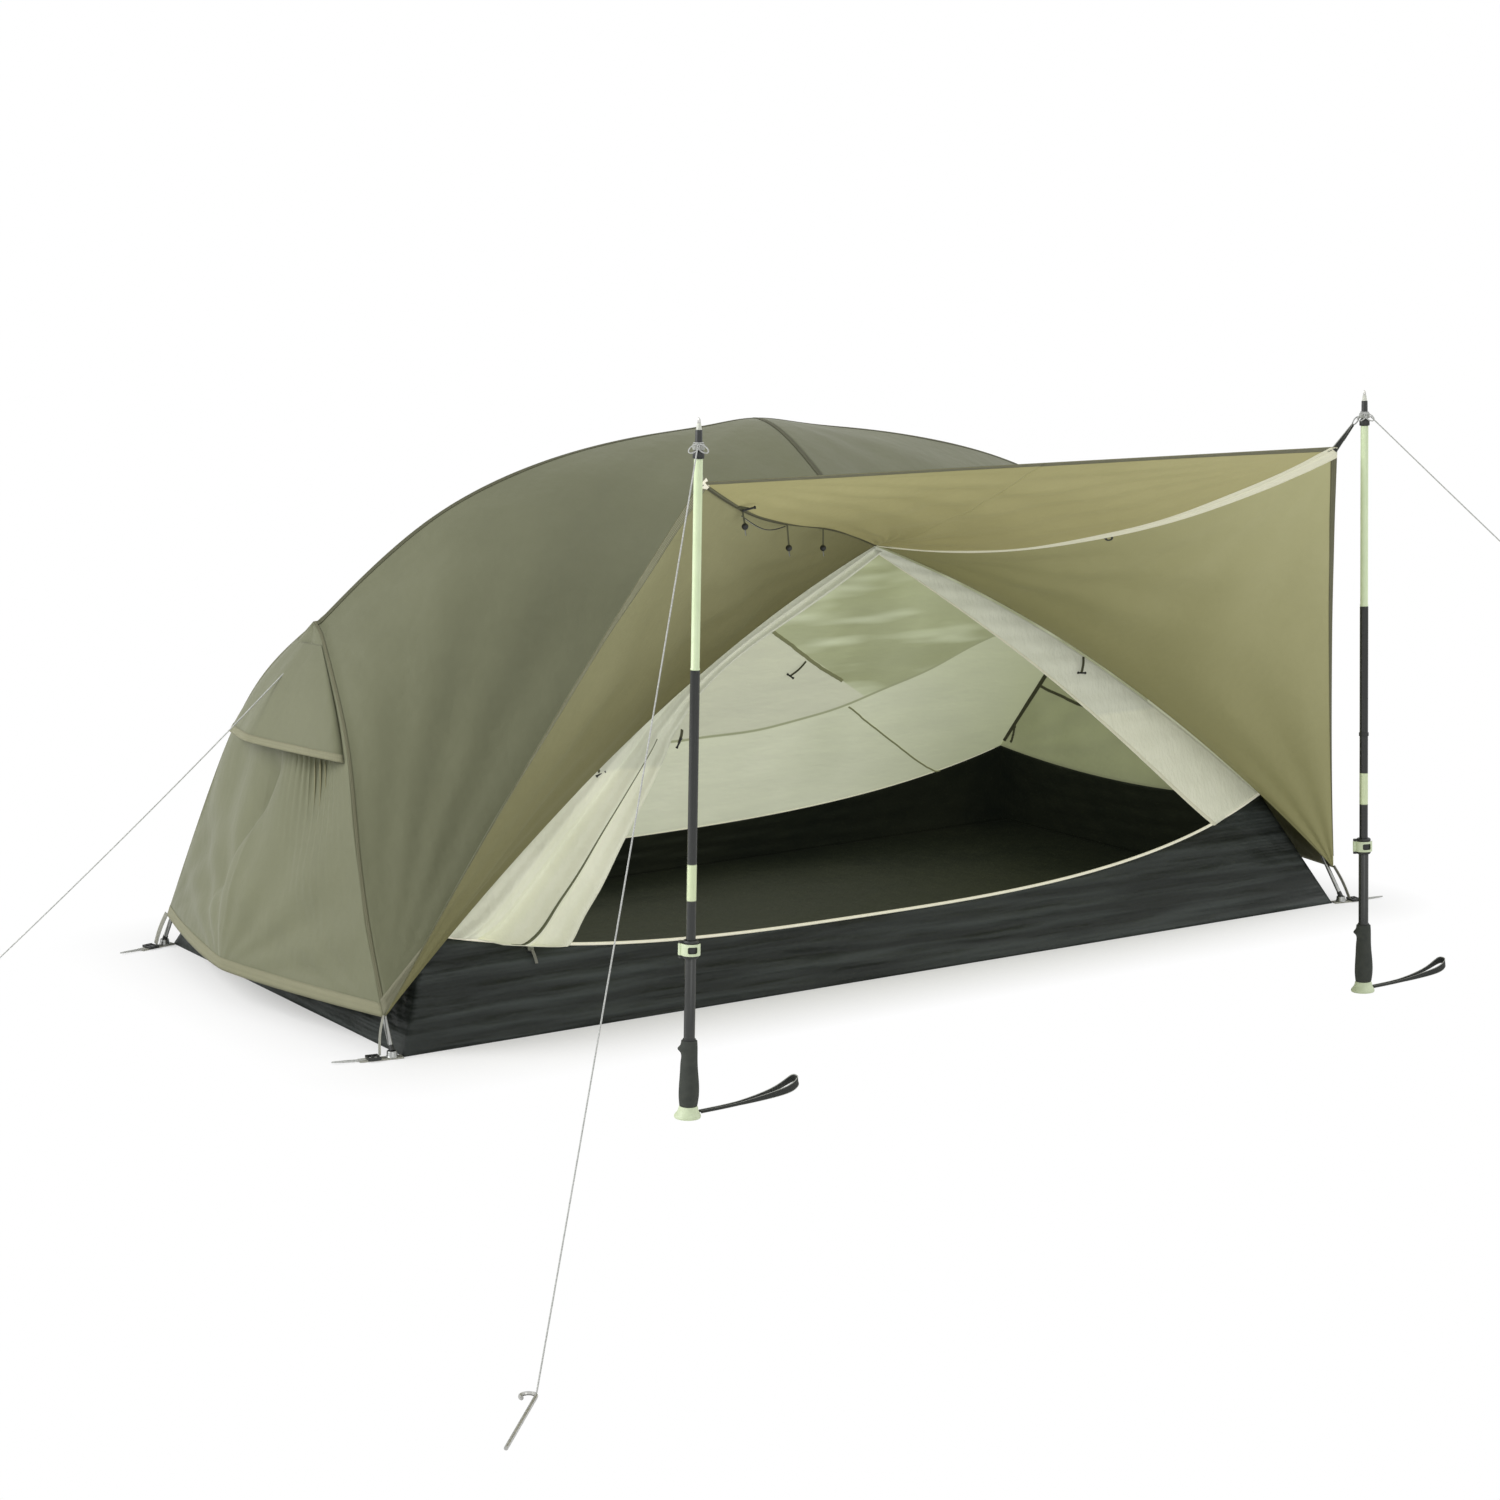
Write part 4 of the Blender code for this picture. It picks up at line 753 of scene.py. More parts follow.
def along_edge(grid, edge, width, lift=0.0009, count=110, start=0.0, stop=1.0):
    """The strip of a panel within a width of one edge: top, bottom, left or right."""
    flat = edge in ("top", "bottom")
    share = width / size_of(grid)[1 if flat else 0]
    across = (0.0, share) if edge in ("top", "left") else (1 - share, 1.0)
    if flat:
        return patch(grid, (start, stop), across, lift, (count, 5))
    return patch(grid, across, (start, stop), lift, (5, count)).transpose(1, 0, 2)[::-1]


for word, end in LEFT_RIGHT:
    band("fly_crease_strip_" + word, along_edge(fly_front[end], "bottom", 0.026, 0.0011), STRIP)
band("fly_brow_seam", along_edge(fly_front[FOOT], "right", 0.008, 0.0013), SEAM)
band("fly_brow_seam_right", along_edge(fly_front[HEAD], "left", 0.006, 0.0011), SEAM)
for word, grid, edge in (("front_left", fly_front[FOOT], "left"), ("front_right", fly_front[HEAD], "right"),
                         ("rear_foot", fly_rear, "right"), ("rear_head", fly_rear, "left")):
    band("fly_leg_seam_" + word, along_edge(grid, edge, 0.007), LEG_SEAM)
for word, end in LEFT_RIGHT:
    band("fly_ridge_seam_front_" + word, along_edge(fly_front[end], "top", 0.008), SEAM)
band("fly_hem_rear", along_edge(fly_rear, "bottom", 0.018), HEM)
for end, word in ENDS:
    band("fly_hem_" + word, along_edge(fly_end[end], "bottom", 0.024, 0.0010), HEM)

# %% [markdown]
# High on the foot end a hood stands off a mesh vent, so damp air can leave. It is one more sheet, which
# leaves the end panel by height * v^1.2 * (1-u^2)^0.6: nothing at its sewn sides, most at the middle of its
# free edge. A stiff binding holds that edge open, and the spare cloth under it hangs in small pleats.

# %% Vent hood
HOOD_STAND, HOOD_WIDE, HOOD_HIGH = 0.045, (0.3 / 14, 13 / 14), (2 / 24, 10.1 / 24)
wall = end_panel(FOOT, 97, 85)
spread = shares(61, 41, HOOD_WIDE, HOOD_HIGH)
outward = unit(read(normals(wall), *spread))
outward = outward * np.sign(outward.mean((0, 1)) @ np.array([-1, 0, 0.4]))
back = read(wall, *spread)
s, t = shares(61, 41, (-1, 1))
stand = 0.0022 + HOOD_STAND * t ** 1.2 * (1 - s ** 2) ** 0.6
soft = 0.0025 * np.sin(s * 9 + 1) * t * (1 - s ** 2)
hood = facing(back + outward * (stand + soft)[..., None], (-1, 0, 0.6))
cloth("vent_hood_cloth", hood, FLY, LINING, replaces=["vent_hood"], on=["fly_cloth_foot_end"])
band("vent_hood_binding", along_edge(hood, "bottom", 0.014, 0.0012), HEM)


def mesh_panel(place, cloth):
    holes = ((cloth.axis("X") * 2600.0).sin() * (cloth.axis("Y") * 2600.0).sin()).above(0.0, 0.4)
    # The holes are painted nearly black: painted shade of the dark space behind the mesh.
    return {"Base Color": holes.mix(srgb(30, 32, 26), srgb(62, 63, 50)), "Roughness": 0.8 + holes * 0.1,
            "Normal": bumped(holes, 0.0003)}


vent = facing(read(back + outward * 0.0012, *shares(50, 30, (0.14, 0.86), (0.45, 0.97))), (-1, 0, 0.4))
band("vent_mesh", vent, finish_of("vent mesh", mesh_panel), thick=0.0004)
print("hood stands out %.0f mm" % (HOOD_STAND * 1000))

# %% [markdown]
# The awning is the fly's front panel, unzipped at the middle and raised on the poles. Its ceiling is one
# sheet that hangs between its two curved zip edges, so at each step forward it is a parabola through the
# left edge, the sagging centre line and the right edge. It is cut into halves so that each half can follow
# its own pole.

# %% Awning ceiling
ZIP_SAG, CENTRE_SAG, HEM_BOW = {FOOT: 0.014, HEAD: 0.076}, 0.02, 0.03
ZIP_SKEW = {FOOT: 0.012, HEAD: 0.0}
FRONT_OF_CREASE = -CREASE_GAP * Y
CORNERS = {word: AWNING_CORNER[end] for word, end in LEFT_RIGHT}
BLENDS = {}


def on_awning(word, made):
    """Notes that a piece has to follow the pole on that side, and hands it back."""
    BLENDS[made.name] = word
    return made


def awning_zip(end, count):
    """From the apex to the hem corner, with a sag of ZIP_SAG and an S of ZIP_SKEW."""
    t = np.linspace(0.0, 1.0, count)
    edge = line(apex + FRONT_OF_CREASE, AWNING_CORNER[end], count)
    edge[:, 2] -= ZIP_SAG[end] * 4 * t * (1 - t) - ZIP_SKEW[end] * np.sin(2 * math.pi * t)
    return edge


def ceiling_sheet(rows=90, columns=161):
    """Each row is the parabola (1-s)(1-2s) left + 4 s (1-s) centre + s (2s-1) right."""
    middle = line(apex + FRONT_OF_CREASE, sum(CORNERS.values()) / 2, rows)
    middle[:, 2] -= CENTRE_SAG * bow(rows)
    s = np.linspace(0.0, 1.0, columns)[None, :, None]
    return ((1 - s) * (1 - 2 * s) * awning_zip(FOOT, rows)[:, None] + 4 * s * (1 - s) * middle[:, None]
            + s * (2 * s - 1) * awning_zip(HEAD, rows)[:, None])


CEILING_FOLDS = [(0, 1, 21, 0.0030, 0.42, 0.4), (1, 1, 23, 0.0028, 0.42, 1.9),
                 (0.5, 0, 15, 0.0018, 0.25, 1.0)]
ceiling = facing(creased(ceiling_sheet(), CEILING_FOLDS, power=0.3), (0, 0, 1))
first, second = ceiling[:, :81], ceiling[:, 80:]
if ceiling[-1, 0, 0] > ceiling[-1, -1, 0]:
    first, second = second, first
ceiling_halves = {"left": first, "right": second}
for word, half in ceiling_halves.items():
    on_awning(word, cloth("awning_cloth_" + word, half, FLY, GOLD, replaces=["awning_ceiling_" + word],
                          slot="fly_inner_gold", body=None, on=["awning_ring_" + word]))
print("ceiling spans %.2f m at its hem" % np.linalg.norm(CORNERS["left"] - CORNERS["right"]))

# %% [markdown]
# Each side of the awning is a triangle of cloth from the hem corner, along the body's crease to the brow,
# and out to the pole. Its free edge is cut a little hollow so that it pulls tight, and its lower end hangs
# loose near the ground.

# %% Awning sides
WING_FOLDS = [(1, 1, 17, 0.0050, 0.42, 0.4), (0, 1, 15, 0.0036, 0.3, 1.2)]


def wing_sheet(end, rows=90, columns=70):
    """Coons patch from the low corner to the zip edge, between the crease and the hollow free edge."""
    low = leg_corner(end) + FRONT_OF_CREASE
    t = np.linspace(0.0, 1.0, rows)[:, None]
    hollow = np.array([-end * 0.15, 0.2, 0.6]) * HEM_BOW * 4 * t * (1 - t)
    outer = line(low, AWNING_CORNER[end], rows) + hollow
    return coons(np.repeat(low[None], columns, axis=0), awning_zip(end, columns),
                 crease(end, rows) + FRONT_OF_CREASE, outer)


wings = {}
for word, end in LEFT_RIGHT:
    sheet = wing_sheet(end)
    waves = ripple(sheet, 0.16, 0.0035, 0.12, 0.5) * np.linspace(1, 0.2, 90)[:, None, None]
    wings[end] = facing(creased(sheet, WING_FOLDS, waves), (end, 0.6, 0.5))
    on_awning(word, cloth("awning_side_" + word, wings[end], FLY, WING[end],
                          replaces=["awning_%s_wing" % word], slot="fly_inner_gold", body=None,
                          on=["awning_ring_" + word]))
print("awning pieces:", list(BLENDS))

# %% [markdown]
# The front hem is a folded binding, and the two curved edges carry open zip tapes: pale woven tape with a
# row of small nylon teeth. Tapes and binding are strips read from the sheets themselves, on the underside,
# which is what shows. On the left they are seen edge on, so they are narrow there, and they get the seams'
# olive finishes instead of the pale tape, which is painted shade. The side hem on the left is painted with
# the light and shade of its folds.

# %% Hems and zip tapes of the awning
TOOTH_STEP = 0.0022


def tape_recipe(place, cloth):
    """Twill over the whole tape, and teeth in the middle tenth of its width to each side."""
    along, across = cloth.axis("X"), cloth.axis("Y")
    twill = ((along * 3600.0) + (across * 26.0)).sin().above(0.0, 0.5)
    tooth = (along * (2 * math.pi / TOOTH_STEP)).sin().above(0.0, 0.25)
    tooth = tooth * (1.0 - (across - 0.5).abs().above(0.1, 0.02))
    tone = twill * 0.35 + tooth * 0.65
    pale = srgb(214, 212, 188), srgb(238, 237, 216)
    return {"Base Color": tone.mix(*pale), "Roughness": 0.62 - tooth * 0.2, "Emission Color": tone.mix(*pale),
            "Normal": bumped(tooth * 0.0006 + twill * 0.0001)}


def lined(place, cloth):
    """A folded hem seen from the side: its ridges of cloth are painted pale, as painted light, and the
    creases between them dark, as painted shade.
    """
    ridge = (cloth.axis("Y") * (5 * math.pi)).sin().abs().above(0.5, 0.3)
    drift = place.noise(30.0, 2.0)
    return {"Base Color": (ridge * 0.8 + drift * 0.2).mix(srgb(98, 97, 74), srgb(176, 175, 146)),
            "Roughness": 0.55 + drift * 0.1, "Normal": bumped(ridge * 0.0008)}


# Painted light on the hem's fold ridges and painted shade in its creases.
HEM_PAINTED_FOLDS = finish_of("folded hem, several layers", lined, Specular_IOR_Level=0.3)
# The zip tape glows with its own pale tone: painted light, which keeps it pale where it lies in shade.
TAPE = finish_of("zip tape with nylon teeth", tape_recipe, Specular_IOR_Level=0.4, Emission_Strength=0.25)
UNDER = -0.0012
# The left tapes take olive seam finishes instead of the pale tape: painted shade.
CEILING_TAPE = {"left": (0.0040, LEG_SEAM), "right": (0.0100, TAPE)}
SIDE_TAPE = {"left": SEAM, "right": TAPE}
SIDE_HEM = {"left": (0.016, HEM_PAINTED_FOLDS), "right": (0.006, LEG_SEAM)}


def pole_edge(grid, word):
    """Which edge of a sheet ends at the hem corner, left or right."""
    first, last = (np.linalg.norm(grid[-1, k] - CORNERS[word]) for k in (0, -1))
    return "left" if first < last else "right"


for word, half in ceiling_halves.items():
    on_awning(word, band("awning_hem_" + word, along_edge(half, "bottom", 0.012, UNDER), STRIP, None))
for word, end in LEFT_RIGHT:
    half, wing = ceiling_halves[word], wings[end]
    wide, material = CEILING_TAPE[word]
    on_awning(word, band("awning_zip_ceiling_" + word, along_edge(half, pole_edge(half, word), wide, UNDER),
                         material, None))
    share = np.linspace(1.0, 0.0, 120) if pole_edge(wing, word) == "left" else np.linspace(0.0, 1.0, 120)
    wide = 0.005 + 0.024 * np.clip((share - 0.45) / 0.55, 0, 1) ** 1.2 if word == "right" else 0.0035
    u, v = shares(120, 6, v=(1, 0))
    tape = read(wing, u, 1 - v * wide / size_of(wing)[1])
    tape = tape - 0.0014 * unit(read(normals(wing), u, 1 - v * 0.01))
    on_awning(word, band("awning_zip_side_" + word, tape, SIDE_TAPE[word], None))
    wide, material = SIDE_HEM[word]
    on_awning(word, band("awning_side_hem_" + word,
                         along_edge(wing, pole_edge(wing, word), wide, UNDER, start=0.03), material, None))
print("zip tapes and hems:", sum("zip" in n or "hem" in n for n in BLENDS))

# %% [markdown]
# The floor is a tray of dark coated nylon, a bathtub floor, whose walls keep splash water out. Its rim sags
# between the corners, because the inner tent pulls it up only there. Each wall is a ruled surface from the
# floor's edge to the rim: going up by h moves a point inwards by 0.486 h. Pulled corners give fans of short
# folds. Beside the zip's slider the front wall is calm and a little sunk, so the slider never rubs on a
# fold.

# %% Bathtub floor
FLOOR_LENGTH, FOOT_WIDTH, HEAD_WIDTH, LEAN = 2.24, 1.02, 1.127, 0.068 / 0.14
HALF_FLOOR, RIM_LOW_X = FLOOR_LENGTH / 2, -0.09
RIM = {FRONT: (0.112, 0.0726), REAR: (0.100, 0.066)}
SLIDER_LANE_X, SLIDER_LANE_WIDE, SLIDER_LANE_DEEP = -0.73, 0.22, 0.0016


def half_width(x):
    """Half the floor's width at x, a straight taper from FOOT_WIDTH to HEAD_WIDTH."""
    return (FOOT_WIDTH + (HEAD_WIDTH - FOOT_WIDTH) * (x / FLOOR_LENGTH + 0.5)) / 2


def rim_height(x, side):
    """Height of the rim over the floor's edge: low + rise |x - x0|^2.8."""
    low, rise = RIM[side]
    return low + rise * np.abs(x - RIM_LOW_X) ** 2.8


def rim_point(x, y, height):
    """A floor edge point raised to a height, drawn in towards the middle in step with it."""
    return np.stack([x - LEAN * height * x / HALF_FLOOR, y - LEAN * height * y / half_width(x), height], -1)


def rim_run(side, count):
    """One side's rim as a line of points from the foot to the head."""
    x = np.linspace(-HALF_FLOOR, HALF_FLOOR, count)
    return rim_point(x, side * half_width(x), rim_height(x, side))


def rim_corner(end, side):
    """The rim's point at one corner of the floor."""
    x = np.array(end * HALF_FLOOR)
    return rim_point(x, side * half_width(x), rim_height(x, side))


def long_wall(side, rows=28, columns=200):
    """Ruled surface: each column goes straight from the floor's edge up to the rim."""
    x = np.linspace(-HALF_FLOOR, HALF_FLOOR, columns)[None, :]
    share = np.linspace(0.0, 1.0, rows)[:, None]
    return rim_point(x + 0 * share, side * half_width(x) + 0 * share, share * rim_height(x, side))


def end_wall(end, rows=28, columns=110):
    """Ruled as the long walls are; its rim is straight between the corners less 0.035 (1 - s^2)."""
    s = np.linspace(-1.0, 1.0, columns)[None, :]
    share = np.linspace(0.0, 1.0, rows)[:, None]
    x = end * HALF_FLOOR
    front, back = (rim_height(np.array(x), side) for side in (FRONT, REAR))
    height = (front * (1 - s) + back * (1 + s)) / 2 - 0.035 * (1 - s ** 2)
    return rim_point(x + 0 * s * share, s * half_width(x) + 0 * share, share * height)


def nylon_tub(place, cloth):
    sweep = place.noise(3.0, 2.0) * 0.6 + place.noise(30.0, 3.0) * 0.4
    folds = place.noise(5.0, 2.0, 0.5, stretch=(0.45, 0.45, 9.0))
    relief = place.noise(11.0, 3.0, 0.6, stretch=(1.0, 1.0, 2.2)) * 0.012 + folds * 0.02
    relief = relief + ripstop(cloth, 0.004) * 0.0001
    tone = sweep.above(0.5, 0.25).mix(srgb(28, 33, 30), srgb(42, 47, 44))
    # Where the long folds rise, the tone is lifted to a lighter grey: painted highlights on the folds.
    return {"Base Color": folds.above(0.56, 0.12).mix(tone, srgb(66, 72, 70)),
            "Roughness": 0.46 + sweep * 0.2, "Normal": bumped(relief, 1.0, 0.6)}


def nylon_floor(place, cloth):
    sweep = place.noise(2.6, 3.0) * 0.7 + place.noise(26.0, 2.0) * 0.3
    relief = place.noise(7.0, 3.0, 0.6) * 0.016 + ripstop(cloth, 0.004) * 0.0001
    tone = sweep.above(0.5, 0.25).mix(srgb(24, 29, 25), srgb(44, 47, 36))
    return {"Base Color": tone, "Emission Color": tone, "Roughness": 0.42 + sweep * 0.2,
            "Normal": bumped(relief, 1.0, 0.5)}


TUB = finish_of("tub, coated nylon outside", nylon_tub, Specular_IOR_Level=0.32)
# The tub's inner face glows with its own tone: painted light, so its floor does not go black in the tent's
# shade.
TUB_INSIDE = finish_of("tub, inner face", nylon_floor, Specular_IOR_Level=0.3, Emission_Strength=0.20)
WALL_FOLDS = [(0, 0, 15, 0.0035, 0.10, 0.5), (1, 0, 15, 0.0035, 0.10, 1.4), (0, 1, 13, 0.0030, 0.12, 0.2),
              (1, 1, 13, 0.0030, 0.12, 0.9)]
WALL_WAVES = [(0.31, 0.0035, 0.15, 1.0), (0.117, 0.0014, -0.3, 0.4), (0.052, 0.0020, 1.45, 0.8),
              (0.031, 0.0009, 1.62, 2.0)]
tub_walls = {}
for key, grid, way in (("front", long_wall(FRONT), (0, -1, 0.3)), ("rear", long_wall(REAR), (0, 1, 0.3)),
                       ("head", end_wall(HEAD), (1, 0, 0.3)), ("foot", end_wall(FOOT), (-1, 0, 0.3))):
    relief = (sum(edge_folds(grid, *fold) for fold in WALL_FOLDS)
              + sum(ripple(grid, *wave) for wave in WALL_WAVES)) * calm_edges(grid, 0.5)
    if key == "front":
        share = np.linspace(0.0, 1.0, len(grid))[:, None, None]
        lane = np.exp(-((grid[..., :1] - SLIDER_LANE_X) / SLIDER_LANE_WIDE) ** 6)
        lane = lane * np.clip((share - 0.58) / 0.12, 0, 1)
        relief = relief * (1 - lane) - SLIDER_LANE_DEEP * lane * (1 - share ** 60)
    tub_walls[key] = facing(grid + normals(facing(grid, way)) * relief * np.array([1.0, 1.0, 0.3]), way)
x, y = shares(150, 80, (-HALF_FLOOR, HALF_FLOOR), (-1, 1))
waves = np.abs(np.sin(x * 9 + np.sin(y * 5)) * np.sin(y * 11 + x * 2)) * 0.0022
waves = waves * (1 - y ** 6) * (1 - (x / HALF_FLOOR) ** 8)
ground = facing(np.stack([x, y * half_width(x), 0.0008 + waves], -1), (0, 0, -1))
cloth("tub_cloth", [*tub_walls.values(), ground], TUB, TUB_INSIDE, replaces=["tub_floor"], slot="tub_black",
      thick=0.0008)
print("rim: %.0f mm in the middle, %.0f mm at the head corner" % tuple(
    1000 * rim_height(np.array(x), FRONT) for x in (RIM_LOW_X, HALF_FLOOR)))

# %% [markdown]
# The inner tent is light cloth: pale cream nylon below, see-through mesh above, sewn to the rim. The mesh
# looks olive because the fly shows through it. One material does both, since the seam between them is a
# known curve: below z = 0.335 + 0.19 ((x-0.1)/0.7)^2.2 the cloth is cream, and above it the mesh begins.

# %% Inner tent finishes
def lit_cloth(tone, drift, rough, relief):
    """Thin pale cloth: the light that comes through it is an emission of its own colour."""
    return {"Base Color": tone, "Emission Color": tone, "Roughness": rough[0] + drift * rough[1],
            "Normal": bumped(relief, 1.0, 0.6)}


def inner_wall(place, cloth):
    """Cream cloth below the seam's curve, mesh above it, and an olive piping on the curve."""
    rise = place.node("ShaderNodeMath", {"operation": "MULTIPLY_ADD", "use_clamp": True}, _0=place.axis("X"),
                      _1=1 / 0.7, _2=-0.1 / 0.7)
    seam = (rise ** 2.2) * 0.19 + 0.335
    mesh = (place.axis("Z") - seam).above(0.0, 0.0015)
    piping = 1.0 - (place.axis("Z") - seam).abs().above(0.003, 0.0015)
    drift = place.noise(3.2, 3.0)
    holes = ((cloth.axis("X") * 1900.0).sin() * (cloth.axis("Y") * 1900.0).sin()).above(0.1, 0.5)
    lower = drift.above(0.5, 0.25).mix(srgb(186, 190, 166), srgb(200, 203, 181))
    # Towards the head end the cream goes over to a darker green grey: painted shade in the corner.
    lower = place.axis("X").above(0.80, 0.28).mix(lower, srgb(160, 165, 134))
    upper = drift.above(0.5, 0.2).mix(srgb(142, 146, 113), srgb(166, 171, 140))
    # Long upright streaks of the mesh are painted lighter: painted highlights where its waves catch the
    # light.
    waves = place.noise(4.2, 2.0, 0.5, stretch=(0.6, 1.0, 4.5)).above(0.60, 0.10)
    upper = (waves * 0.75).mix(upper, srgb(198, 204, 178))
    left_of_ribbon = 1.0 - (place.axis("X") + place.axis("Z") * 1.773 - 1.208).above(0.0, 0.003)
    upper = (left_of_ribbon * (1.0 - place.axis("Z").above(0.62, 0.05))).mix(upper, srgb(186, 188, 168))
    tone = piping.mix(mesh.mix(lower, upper), srgb(146, 150, 120))
    relief = place.noise(12.0, 3.0, 0.55, stretch=(0.5, 1.0, 1.8)) * 0.016 + holes * mesh * 0.0002
    return lit_cloth(tone, drift, (0.66, 0.14), relief)


def inner_door_cloth(place, cloth):
    drift = place.noise(5.0, 3.0)
    high = place.axis("Z").above(0.45, 0.004)
    lower = drift.above(0.5, 0.25).mix(srgb(212, 214, 192), srgb(226, 227, 208))
    upper = drift.above(0.5, 0.25).mix(srgb(200, 203, 184), srgb(214, 216, 200))
    relief = place.noise(22.0, 3.0, 0.6, stretch=(1.4, 1.0, 0.7)) * 0.010 + ripstop(cloth, 0.005) * 0.0001
    return lit_cloth(high.mix(lower, upper), drift, (0.58, 0.14), relief)


def inner_end_wall(place, cloth):
    drift = place.noise(4.0, 3.0)
    tone = drift.above(0.5, 0.25).mix(srgb(134, 138, 106), srgb(152, 156, 124))
    return lit_cloth(tone, drift, (0.68, 0.12), place.noise(12.0, 3.0, 0.55) * 0.014)


INNER_END, INNER, DOOR = (finish_of(name, recipe, Specular_IOR_Level=0.3, Emission_Strength=glow)
                          for name, recipe, glow in (
    ("inner tent, end mesh", inner_end_wall, 0.50),
    ("inner tent, nylon and mesh", inner_wall, 0.72),
    ("inner door, cream nylon", inner_door_cloth, 0.26)))
print("inner tent finishes:", INNER.name, "|", DOOR.name)

# %% [markdown]
# The inner tent hangs a little inside the fly: its roof and rear wall are Coons patches from the ridge to
# the doorway's edge and to the tub's rim. A strip of plain cloth runs round the doorway, between the front
# edge and the zipped edge of the door.

# %% Inner tent panels
INNER_DROP, DOOR_SET_IN, BROW_SET_BACK = 0.045, {FOOT: 0.02, HEAD: 0.155}, np.array([0.0, 0.038, 0.004])


def inner_ridge(count):
    """The ridge's line lowered by INNER_DROP, between the hubs."""
    x = np.linspace(HUB[FOOT][0] + 0.03, HUB[HEAD][0] - 0.03, count)
    return np.stack([x, 0 * x, ridge_height(x) - INNER_DROP], axis=1)


def front_edge(count):
    """The inner tent's front edge: from the foot corner of the rim up to the brow and down to the head."""
    halves = []
    for end in (FOOT, HEAD):
        t = np.linspace(0.0, 1.0, 60)
        run = line(rim_corner(end, FRONT), crease(end, 40)[-1] + BROW_SET_BACK, 60)
        run[:, 2] += (CREASE_BOW - 0.02) * bow(60)
        run += np.array([0.0, 0.014, -0.014]) * (np.sin(np.pi * t) ** 0.5)[:, None] * 0.4
        halves.append(evenly(run, count // 2 + 1))
    return np.vstack([halves[0], halves[1][::-1][1:]])


def door_edge(count):
    """The zipped edge of the doorway, set in from the front edge: far at the head, little at the foot."""
    edge = front_edge(count)
    top = count // 2
    t = np.concatenate([np.linspace(0, 1, top + 1), np.linspace(1, 0, top + 1)[1:]])
    head_side = np.arange(count) > top
    edge[:, 0] += np.where(head_side, -DOOR_SET_IN[HEAD], DOOR_SET_IN[FOOT]) * (1 - t ** 3)
    edge[:, 2] -= 0.006 * t ** 3
    rim = rim_run(FRONT, 80)
    sink = np.interp(edge[:, 0], rim[:, 0], rim[:, 2]) - np.where(head_side, rim[-1, 2], rim[0, 2])
    edge[:, 2] += sink * (1 - t) ** 4
    edge[:, 1] += LEAN * sink * (1 - t) ** 4
    return edge


def inner_cloth(name, grids, finish, node, thick=0.0007, on="tub_cloth"):
    cloth(name, grids, finish, replaces=[node], slot="inner_cream", thick=thick, on=[on])


INNER_COLUMNS = 161
roof_line, front_run, door_run = (edge(INNER_COLUMNS) for edge in (inner_ridge, front_edge, door_edge))
share = np.linspace(0.0, 1.0, 22)[:, None, None]
strip = (1 - share) * front_run[None] + share * door_run[None]
strip = facing(creased(strip, more=ripple(strip, 0.07, 0.0012, 0.5), power=0.3), (0, -1, 0.5))
inner_cloth("inner_front_cloth", strip, DOOR, "inner_front")
side_edges = {(end, side): line(roof_line[0 if end < 0 else -1], rim_corner(end, side), 70)
              for end in (FOOT, HEAD) for side in (FRONT, REAR)}
roof = coons(roof_line, front_run, side_edges[FOOT, FRONT], side_edges[HEAD, FRONT])
roof = creased(roof, more=ripple(roof, 0.12, 0.0025, 1.2), power=0.4)
BACK_FOLDS = [(0.5, 0, 21, 0.0060, 0.30, 0.3), (1, 1, 13, 0.0040, 0.3, 0.9), (0, 1, 13, 0.0040, 0.3, 0.1),
              (0.35, 0, 17, 0.005, 0.22, 1.3)]
back_wall = coons(roof_line, rim_run(REAR, INNER_COLUMNS), side_edges[FOOT, REAR], side_edges[HEAD, REAR])
waves = ripple(back_wall, 0.13, 0.0035, 1.35, 0.3) * np.linspace(1, 0, 70)[:, None, None] ** 0.7
back_wall = facing(creased(back_wall, BACK_FOLDS, waves), (0, 1, 0.5))
inner_cloth("inner_canopy_cloth", [facing(roof, (0, -1, 1)), back_wall], INNER, "inner_canopy")
INNER_END_FOLDS = [(0, 1, 13, 0.0040, 0.25, 0.4), (1, 1, 13, 0.0040, 0.25, 1.0)]
inner_ends = {}
for end, word in ENDS:
    low = tub_walls[word][-1]
    low = evenly(low if low[0, 1] < 0 else low[::-1], 80)
    top = np.repeat(side_edges[end, FRONT][:1], 80, axis=0)
    sheet = coons(top, low, side_edges[end, FRONT], side_edges[end, REAR])
    inner_ends[end] = facing(creased(sheet, INNER_END_FOLDS, power=0.4), (end, 0, 0.3))
    inner_cloth("inner_%s_cloth" % word, inner_ends[end], INNER_END, "inner_" + word)
print("inner tent panels done; doorway sill from x %.2f to %.2f" % (door_run[0, 0], door_run[-1, 0]))

# %% [markdown]
# The two trekking poles stand upside down, with their grips on the ground. Nearly all their parts are
# round, so each is a profile of radius and height turned about the pole's axis. A bulge adds what isn't
# round, such as the finger spur of a grip. Edges sharper than 34 degrees stay crisp, and the rest is shaded
# smooth.

# %% Turned parts, straps and blocks
def pole_frame(foot, tip, height=0.0):
    """Where a pole's axis is at a height, and its x, y and z: z runs up the pole and x is near +X."""
    z = unit(tip - foot)
    x = unit(np.cross((0.0, 1.0, 0.0), z))
    return foot + z * height, x, np.cross(z, x), z


def round_edges(made, width, segments, **limits):
    """A bevel on the edges that are sharper than its angle limit."""
    soften = made.modifiers.new("round edges", "BEVEL")
    soften.width, soften.segments, soften.limit_method = width, segments, "ANGLE"
    for key, value in limits.items():
        setattr(soften, key, value)


